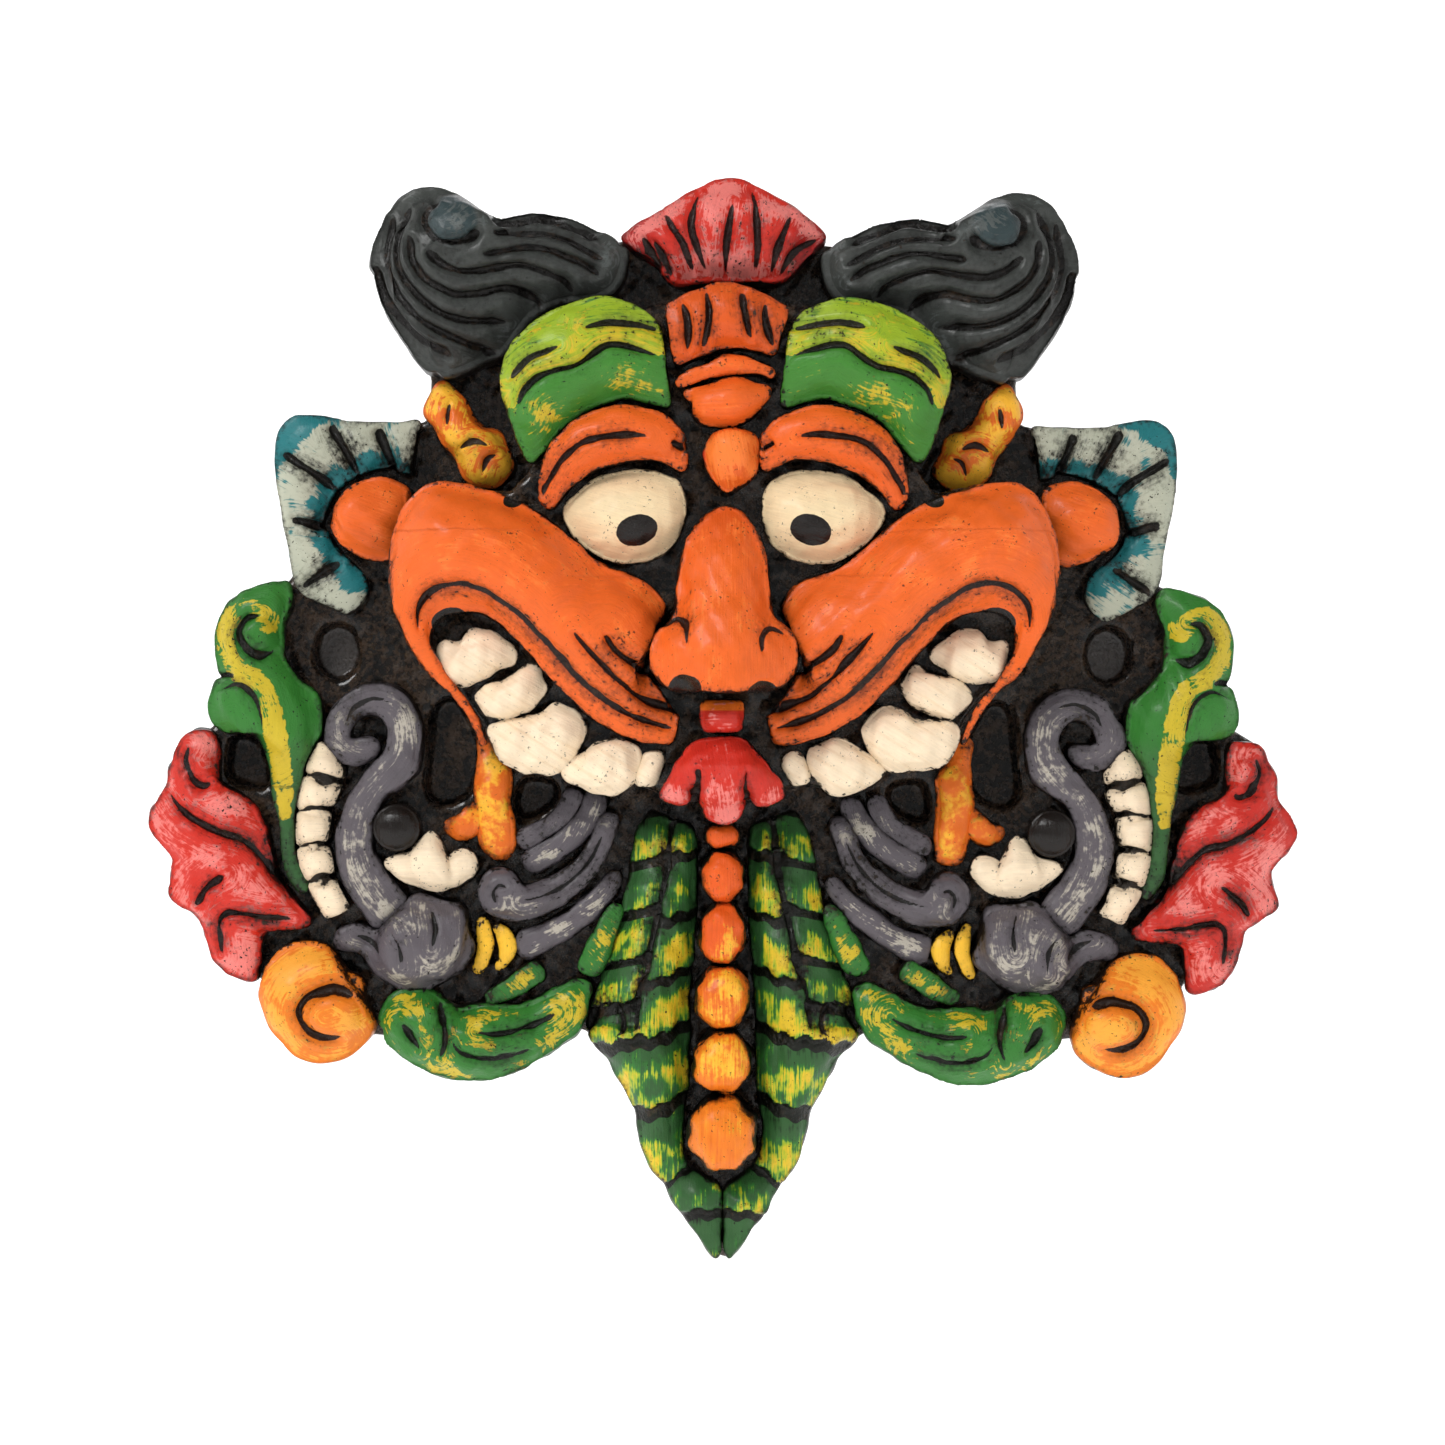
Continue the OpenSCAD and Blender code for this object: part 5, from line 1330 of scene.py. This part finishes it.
class MASK_OT_hanger(CarvingStep, Operator):
    """Fits the dowels, and the hanger with its screws and swinging ring"""
    bl_idname = "mask.hanger"
    bl_label = "Dowels and hanger"

    def make(self):
        flutes, sunk = 14, 0.05

        def flute(angle):
            return 1 - sunk * (0.5 + 0.5 * math.cos(flutes * angle))

        rod = [(-0.5, 0.02), (-0.5, 0.4), (-0.44, 0.5), (0.44, 0.5), (0.5, 0.4), (0.5, 0.02)]
        dowels = repeated("dowels", lathe(rod, flutes * 4, flute), dowel_finish(), 90, 2)
        show(dowels, "fluted_dowels", "dowels")
        head = [(-0.5, 0.01), (-0.46, 0.16), (0.04, 0.26), (0.2, 0.26), (0.2, 0.5), (0.34, 0.49),
                (0.44, 0.36), (0.48, 0.18), (0.48, 0.01)]
        screws = repeated("hanger_screws", slotted(lathe(head, 48)), brass_finish(), 50, 7)
        show(screws, "slotted_screws", "hanger_screws")
        for node, body in (("hanger_strap", "mask"), ("hanger_ring", "ring")):
            mesh = merged_copy(node, whole_faces=True)
            mesh.shade_smooth()
            mesh.set_sharp_from_angle(angle=math.radians(35))
            mesh.materials.clear()
            mesh.materials.append(brass_finish())
            piece = show(mesh, "brass_" + node, node, body)
            bevel = piece.modifiers.new("Worn edges", "BEVEL")
            bevel.width, bevel.segments, bevel.limit_method = 0.12 * MM, 2, "ANGLE"
            bevel.angle_limit = math.radians(50)
            bevel.harden_normals = True


def slotted(mesh):
    """Sinks a screwdriver's slot into the end that faces +y."""
    half, lip, depth = 0.08, 0.01, 0.09
    shape = bmesh.new()
    shape.from_mesh(mesh)
    for x in (-half - lip, -half, half, half + lip):
        bmesh.ops.bisect_plane(shape, geom=shape.verts[:] + shape.edges[:] + shape.faces[:],
                               plane_co=(x, 0, 0), plane_no=(1, 0, 0))
    for vert in shape.verts:
        if vert.co.y > 0.3 and abs(vert.co.x) < half + lip / 2:
            vert.co.y -= depth
    shape.to_mesh(mesh)
    shape.free()
    return mesh


class MASK_OT_stage(Operator):
    """Sets the pale floor and its sweep, the lights and the camera"""
    bl_idname = "mask.stage"
    bl_label = "Stage"

    def execute(self, context):
        stage, scene = context.scene.mask_stage, context.scene
        self.floor(stage)
        middle = (CAD_BOX[0] + CAD_BOX[1]) / 2
        lamps = [("Key", (-0.75, -0.95, 0.95), stage.key, 0.42),
                 ("Fill", (1.1, -0.9, 0.15), stage.fill, 1.2),
                 ("Back", (0.5, 1.2, 0.9), stage.fill * 2, 1.2)]
        for name, spot, power, width in lamps:
            light = bpy.data.lights.new(name, "AREA")
            light.energy, light.size = power, width
            lamp = bpy.data.objects.new(name, light)
            scene.collection.objects.link(lamp)
            lamp.location = spot
            lamp.rotation_euler = (middle - Vector(spot)).to_track_quat("-Z", "Y").to_euler()
        world = bpy.data.worlds.new("Pale room")
        world.use_nodes = True
        sky = world.node_tree.nodes["Background"]
        sky.inputs["Color"].default_value = (1, 1, 1, 1)
        sky.inputs["Strength"].default_value = stage.sky
        scene.world = world
        scene.view_settings.view_transform = "Standard"
        camera = bpy.data.cameras.new("Camera")
        camera.lens, camera.sensor_width = stage.lens, 36
        camera.clip_start, camera.clip_end = 0.05, 20
        shot = bpy.data.objects.new("Camera", camera)
        scene.collection.objects.link(shot)
        shot.location = (0, -stage.distance, 0)
        shot.rotation_euler = (math.radians(90), 0, 0)
        scene.camera = shot
        return {"FINISHED"}

    def floor(self, stage):
        """A round floor just under the tail that sweeps up far away on every side."""
        rings, sides = 12, 96
        start, flat_to, bend, top = 0.3, 2.6, 1.6, 4.1
        profile = [(r, 0.0) for r in np.linspace(start, flat_to, rings)] + [
            (flat_to + bend * math.sin(a), bend * (1 - math.cos(a)))
            for a in np.linspace(0, math.pi / 2, rings)[1:]] + [(flat_to + bend, top)]
        bottom = CAD_BOX[0].z - stage.gap
        verts = [(r * math.cos(t), r * math.sin(t), bottom + up) for r, up in profile
                 for t in np.linspace(0, 2 * math.pi, sides, endpoint=False)]
        verts.append((0, 0, bottom))
        faces = [[j, (j + 1) % sides, len(verts) - 1] for j in range(sides)]
        for k in range(len(profile) - 1):
            for j in range(sides):
                one, two = k * sides + j, k * sides + (j + 1) % sides
                faces.append([one, one + sides, two + sides, two])
        mesh = bpy.data.meshes.new("Floor")
        mesh.from_pydata(verts, [], faces)
        mesh.shade_smooth()
        pale = Finish("Pale floor", **{"Base Color": (0.85, 0.85, 0.85, 1), "Roughness": 0.9,
                                       "Emission Color": (1, 1, 1, 1), "Specular IOR Level": 0.0})
        depth = pale.node("SeparateXYZ", {}, {"Vector": pale.place}).outputs["Y"]
        lit = Amount(pale, depth).step(-0.9, -0.25) * (stage.sweep - 0.05) + 0.05
        pale.put(pale.shader.inputs["Emission Strength"], lit)
        mesh.materials.append(pale.material)
        floor = bpy.data.objects.new("Floor", mesh)
        bpy.context.scene.collection.objects.link(floor)
        return floor


PIECES = (MASK_OT_backing, MASK_OT_hair, MASK_OT_crest, MASK_OT_forehead, MASK_OT_nose,
          MASK_OT_mouth, MASK_OT_brows, MASK_OT_eyes, MASK_OT_cheeks, MASK_OT_teeth, MASK_OT_ears,
          MASK_OT_flames, MASK_OT_leaves, MASK_OT_scrolls, MASK_OT_beasts, MASK_OT_tail,
          MASK_OT_beads, MASK_OT_hanger)
STEPS = PIECES + (MASK_OT_stage,)


class MASK_PT_steps(Panel):
    """Lists the settings and the steps"""
    bl_idname = "MASK_PT_steps"
    bl_label = "Carved wall mask"
    bl_space_type = "VIEW_3D"
    bl_region_type = "UI"
    bl_category = "Mask"

    def draw(self, context):
        scene = context.scene
        for group in (scene.mask_carving, scene.mask_paints, scene.mask_stage):
            box = self.layout.box()
            for key in type(group).__annotations__:
                box.prop(group, key)
        for step in STEPS:
            self.layout.operator(step.bl_idname)


SETTINGS = {"mask_carving": MaskCarving, "mask_paints": MaskPaints, "mask_stage": MaskStage}


def register():
    for group in SETTINGS.values():
        bpy.utils.register_class(group)
    for key, group in SETTINGS.items():
        setattr(bpy.types.Scene, key, PointerProperty(type=group))
    for step in STEPS:
        bpy.utils.register_class(step)
    bpy.utils.register_class(MASK_PT_steps)


def unregister():
    bpy.utils.unregister_class(MASK_PT_steps)
    for step in reversed(STEPS):
        bpy.utils.unregister_class(step)
    for key, group in SETTINGS.items():
        delattr(bpy.types.Scene, key)
        bpy.utils.unregister_class(group)


def main():
    register()
    for step in STEPS:
        group, name = step.bl_idname.split(".")
        getattr(getattr(bpy.ops, group), name)()


if __name__ == "__main__":
    main()
